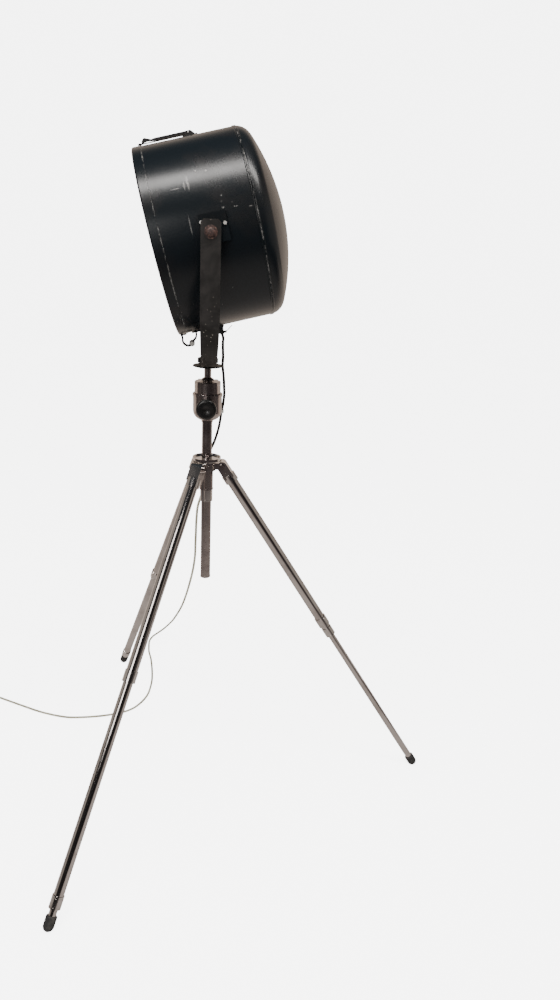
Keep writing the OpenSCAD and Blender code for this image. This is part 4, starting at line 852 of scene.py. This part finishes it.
# %% Surroundings
world = bpy.data.worlds.new("studio")
bpy.context.scene.world = world
world.use_nodes = True
tree = world.node_tree
background = tree.nodes["Background"]
where = add_node(tree, "ShaderNodeTexCoord")
place = add_node(tree, "ShaderNodeSeparateXYZ")
join(tree, where, "Generated", place, "Vector")
side = add_node(tree, "ShaderNodeMath", operation="ABSOLUTE")
join(tree, place, "X", side, 0)


def room_part(source, low, high, before, colour):
    limits = {"From Min": low, "From Max": high}
    reach = add_node(tree, "ShaderNodeMapRange", limits, interpolation_type="SMOOTHSTEP")
    tree.links.new(source, reach.inputs["Value"])
    mix = add_node(tree, "ShaderNodeMix", data_type="RGBA")
    join(tree, reach, "Result", mix, 0)
    if isinstance(before, tuple):
        mix.inputs[6].default_value = (*before, 1)
    else:
        tree.links.new(before, mix.inputs[6])
    mix.inputs[7].default_value = (*colour, 1)
    return mix.outputs[2]


BACKDROP = 6.0
room = room_part(place.outputs["Y"], 0.42, 0.92, (0.016, 0.014, 0.015), (0.80, 0.66, 0.55))
room = room_part(side.outputs[0], 0.70, 0.92, room, (0.42, 0.38, 0.34))
room = room_part(place.outputs["Z"], 0.40, 0.80, room, (0.035, 0.042, 0.050))
path = add_node(tree, "ShaderNodeLightPath")
seen = add_node(tree, "ShaderNodeMix", data_type="RGBA")
seen.inputs[6].default_value = (0.62, 0.62, 0.62, 1)
join(tree, path, "Is Glossy Ray", seen, 0)
tree.links.new(room, seen.inputs[7])
shown = add_node(tree, "ShaderNodeMix", data_type="RGBA")
shown.inputs[7].default_value = (BACKDROP, BACKDROP, BACKDROP, 1)
join(tree, path, "Is Camera Ray", shown, 0)
tree.links.new(seen.outputs[2], shown.inputs[6])
tree.links.new(shown.outputs[2], background.inputs["Color"])
print("surroundings:", len(tree.nodes), "nodes")

# %% [markdown]
# A long soft box hangs in front of the drum and above it, and lays the broad pale band on its side. A
# smaller one stands in front, to the left, and draws a bright line down each chromed leg.

# %% Lamps
def soft_box(name, place, aim, width, height, power):
    data = bpy.data.lights.new(name, "AREA")
    data.shape, data.size, data.size_y = "RECTANGLE", width, height
    data.energy, data.color = power, (1.0, 0.97, 0.94)
    light = bpy.data.objects.new(name, data)
    bpy.context.scene.collection.objects.link(light)
    way = Vector(aim) - Vector(place)
    light.matrix_world = Matrix.Translation(place) @ way.to_track_quat("-Z", "Y").to_matrix().to_4x4()
    return light


key = soft_box("key soft box", (-0.15, -0.75, 3.1), (-0.15, 0, 1.43), 2.6, 0.42, 80)
front = soft_box("front soft box", (-1.0, -2.1, 1.75), (-0.3, -0.2, 0.5), 1.0, 1.2, 16)
print("lights:", round(key.data.energy), "W and", round(front.data.energy), "W")

# %% [markdown]
# The floor is a plain pale disc. It is part of the stage and not of the lamp. The camera sees it as pale
# as the surroundings. Reflections see it pale round the lamp and behind it, and dark farther to the front.

# %% Floor
FLOOR_GLOW = 5.5
bpy.ops.mesh.primitive_circle_add(vertices=96, radius=9, fill_type="NGON", location=(0, 0, 0))
floor = pick(bpy.context.object)
floor.name = "floor"
floor_finish = new_finish("pale floor", (0.86, 0.86, 0.86), 0.9, Specular_IOR_Level=0.1)
tree = floor_finish.node_tree
shader = tree.nodes["Principled BSDF"]
where = add_node(tree, "ShaderNodeTexCoord")
tone = add_node(tree, "ShaderNodeTexNoise", {"Scale": 3.0, "Detail": 3.0})
even = add_node(tree, "ShaderNodeMapRange", {"To Min": 0.85, "To Max": 0.88})
join(tree, where, "Object", tone, "Vector")
join(tree, tone, "Fac", even, "Value")
join(tree, even, "Result", shader, "Base Color")
path = add_node(tree, "ShaderNodeLightPath")
dark_floor = add_node(tree, "ShaderNodeEmission")
away = add_node(tree, "ShaderNodeVectorMath", operation="LENGTH")
join(tree, where, "Object", away, 0)
far = add_node(tree, "ShaderNodeMapRange", {"From Min": 0.9, "From Max": 3.0},
               interpolation_type="SMOOTHSTEP")
tree.links.new(away.outputs["Value"], far.inputs["Value"])
spots = add_node(tree, "ShaderNodeSeparateXYZ")
join(tree, where, "Object", spots, 0)
behind = add_node(tree, "ShaderNodeMapRange", {"From Min": 0.2, "From Max": 1.6},
                  interpolation_type="SMOOTHSTEP")
join(tree, spots, "Y", behind, "Value")
near_tone = add_node(tree, "ShaderNodeMix", data_type="RGBA")
near_tone.inputs[6].default_value = (0.56, 0.50, 0.46, 1)
near_tone.inputs[7].default_value = (0.045, 0.036, 0.038, 1)
join(tree, far, "Result", near_tone, 0)
back_tone = add_node(tree, "ShaderNodeMix", data_type="RGBA")
back_tone.inputs[7].default_value = (0.85, 0.72, 0.62, 1)
join(tree, behind, "Result", back_tone, 0)
tree.links.new(near_tone.outputs[2], back_tone.inputs[6])
tree.links.new(back_tone.outputs[2], dark_floor.inputs["Color"])
lit = add_node(tree, "ShaderNodeEmission")
seen_glow = add_node(tree, "ShaderNodeMath", {1: FLOOR_GLOW}, operation="MULTIPLY")
join(tree, path, "Is Camera Ray", seen_glow, 0)
join(tree, seen_glow, 0, lit, "Strength")
both = add_node(tree, "ShaderNodeAddShader")
tree.links.new(shader.outputs[0], both.inputs[0])
tree.links.new(lit.outputs[0], both.inputs[1])
either = add_node(tree, "ShaderNodeMixShader")
join(tree, path, "Is Glossy Ray", either, "Fac")
tree.links.new(both.outputs[0], either.inputs[1])
tree.links.new(dark_floor.outputs[0], either.inputs[2])
tree.links.new(either.outputs[0], tree.nodes["Material Output"].inputs["Surface"])
floor.data.materials.append(floor_finish)
print("floor radius: 9 m")
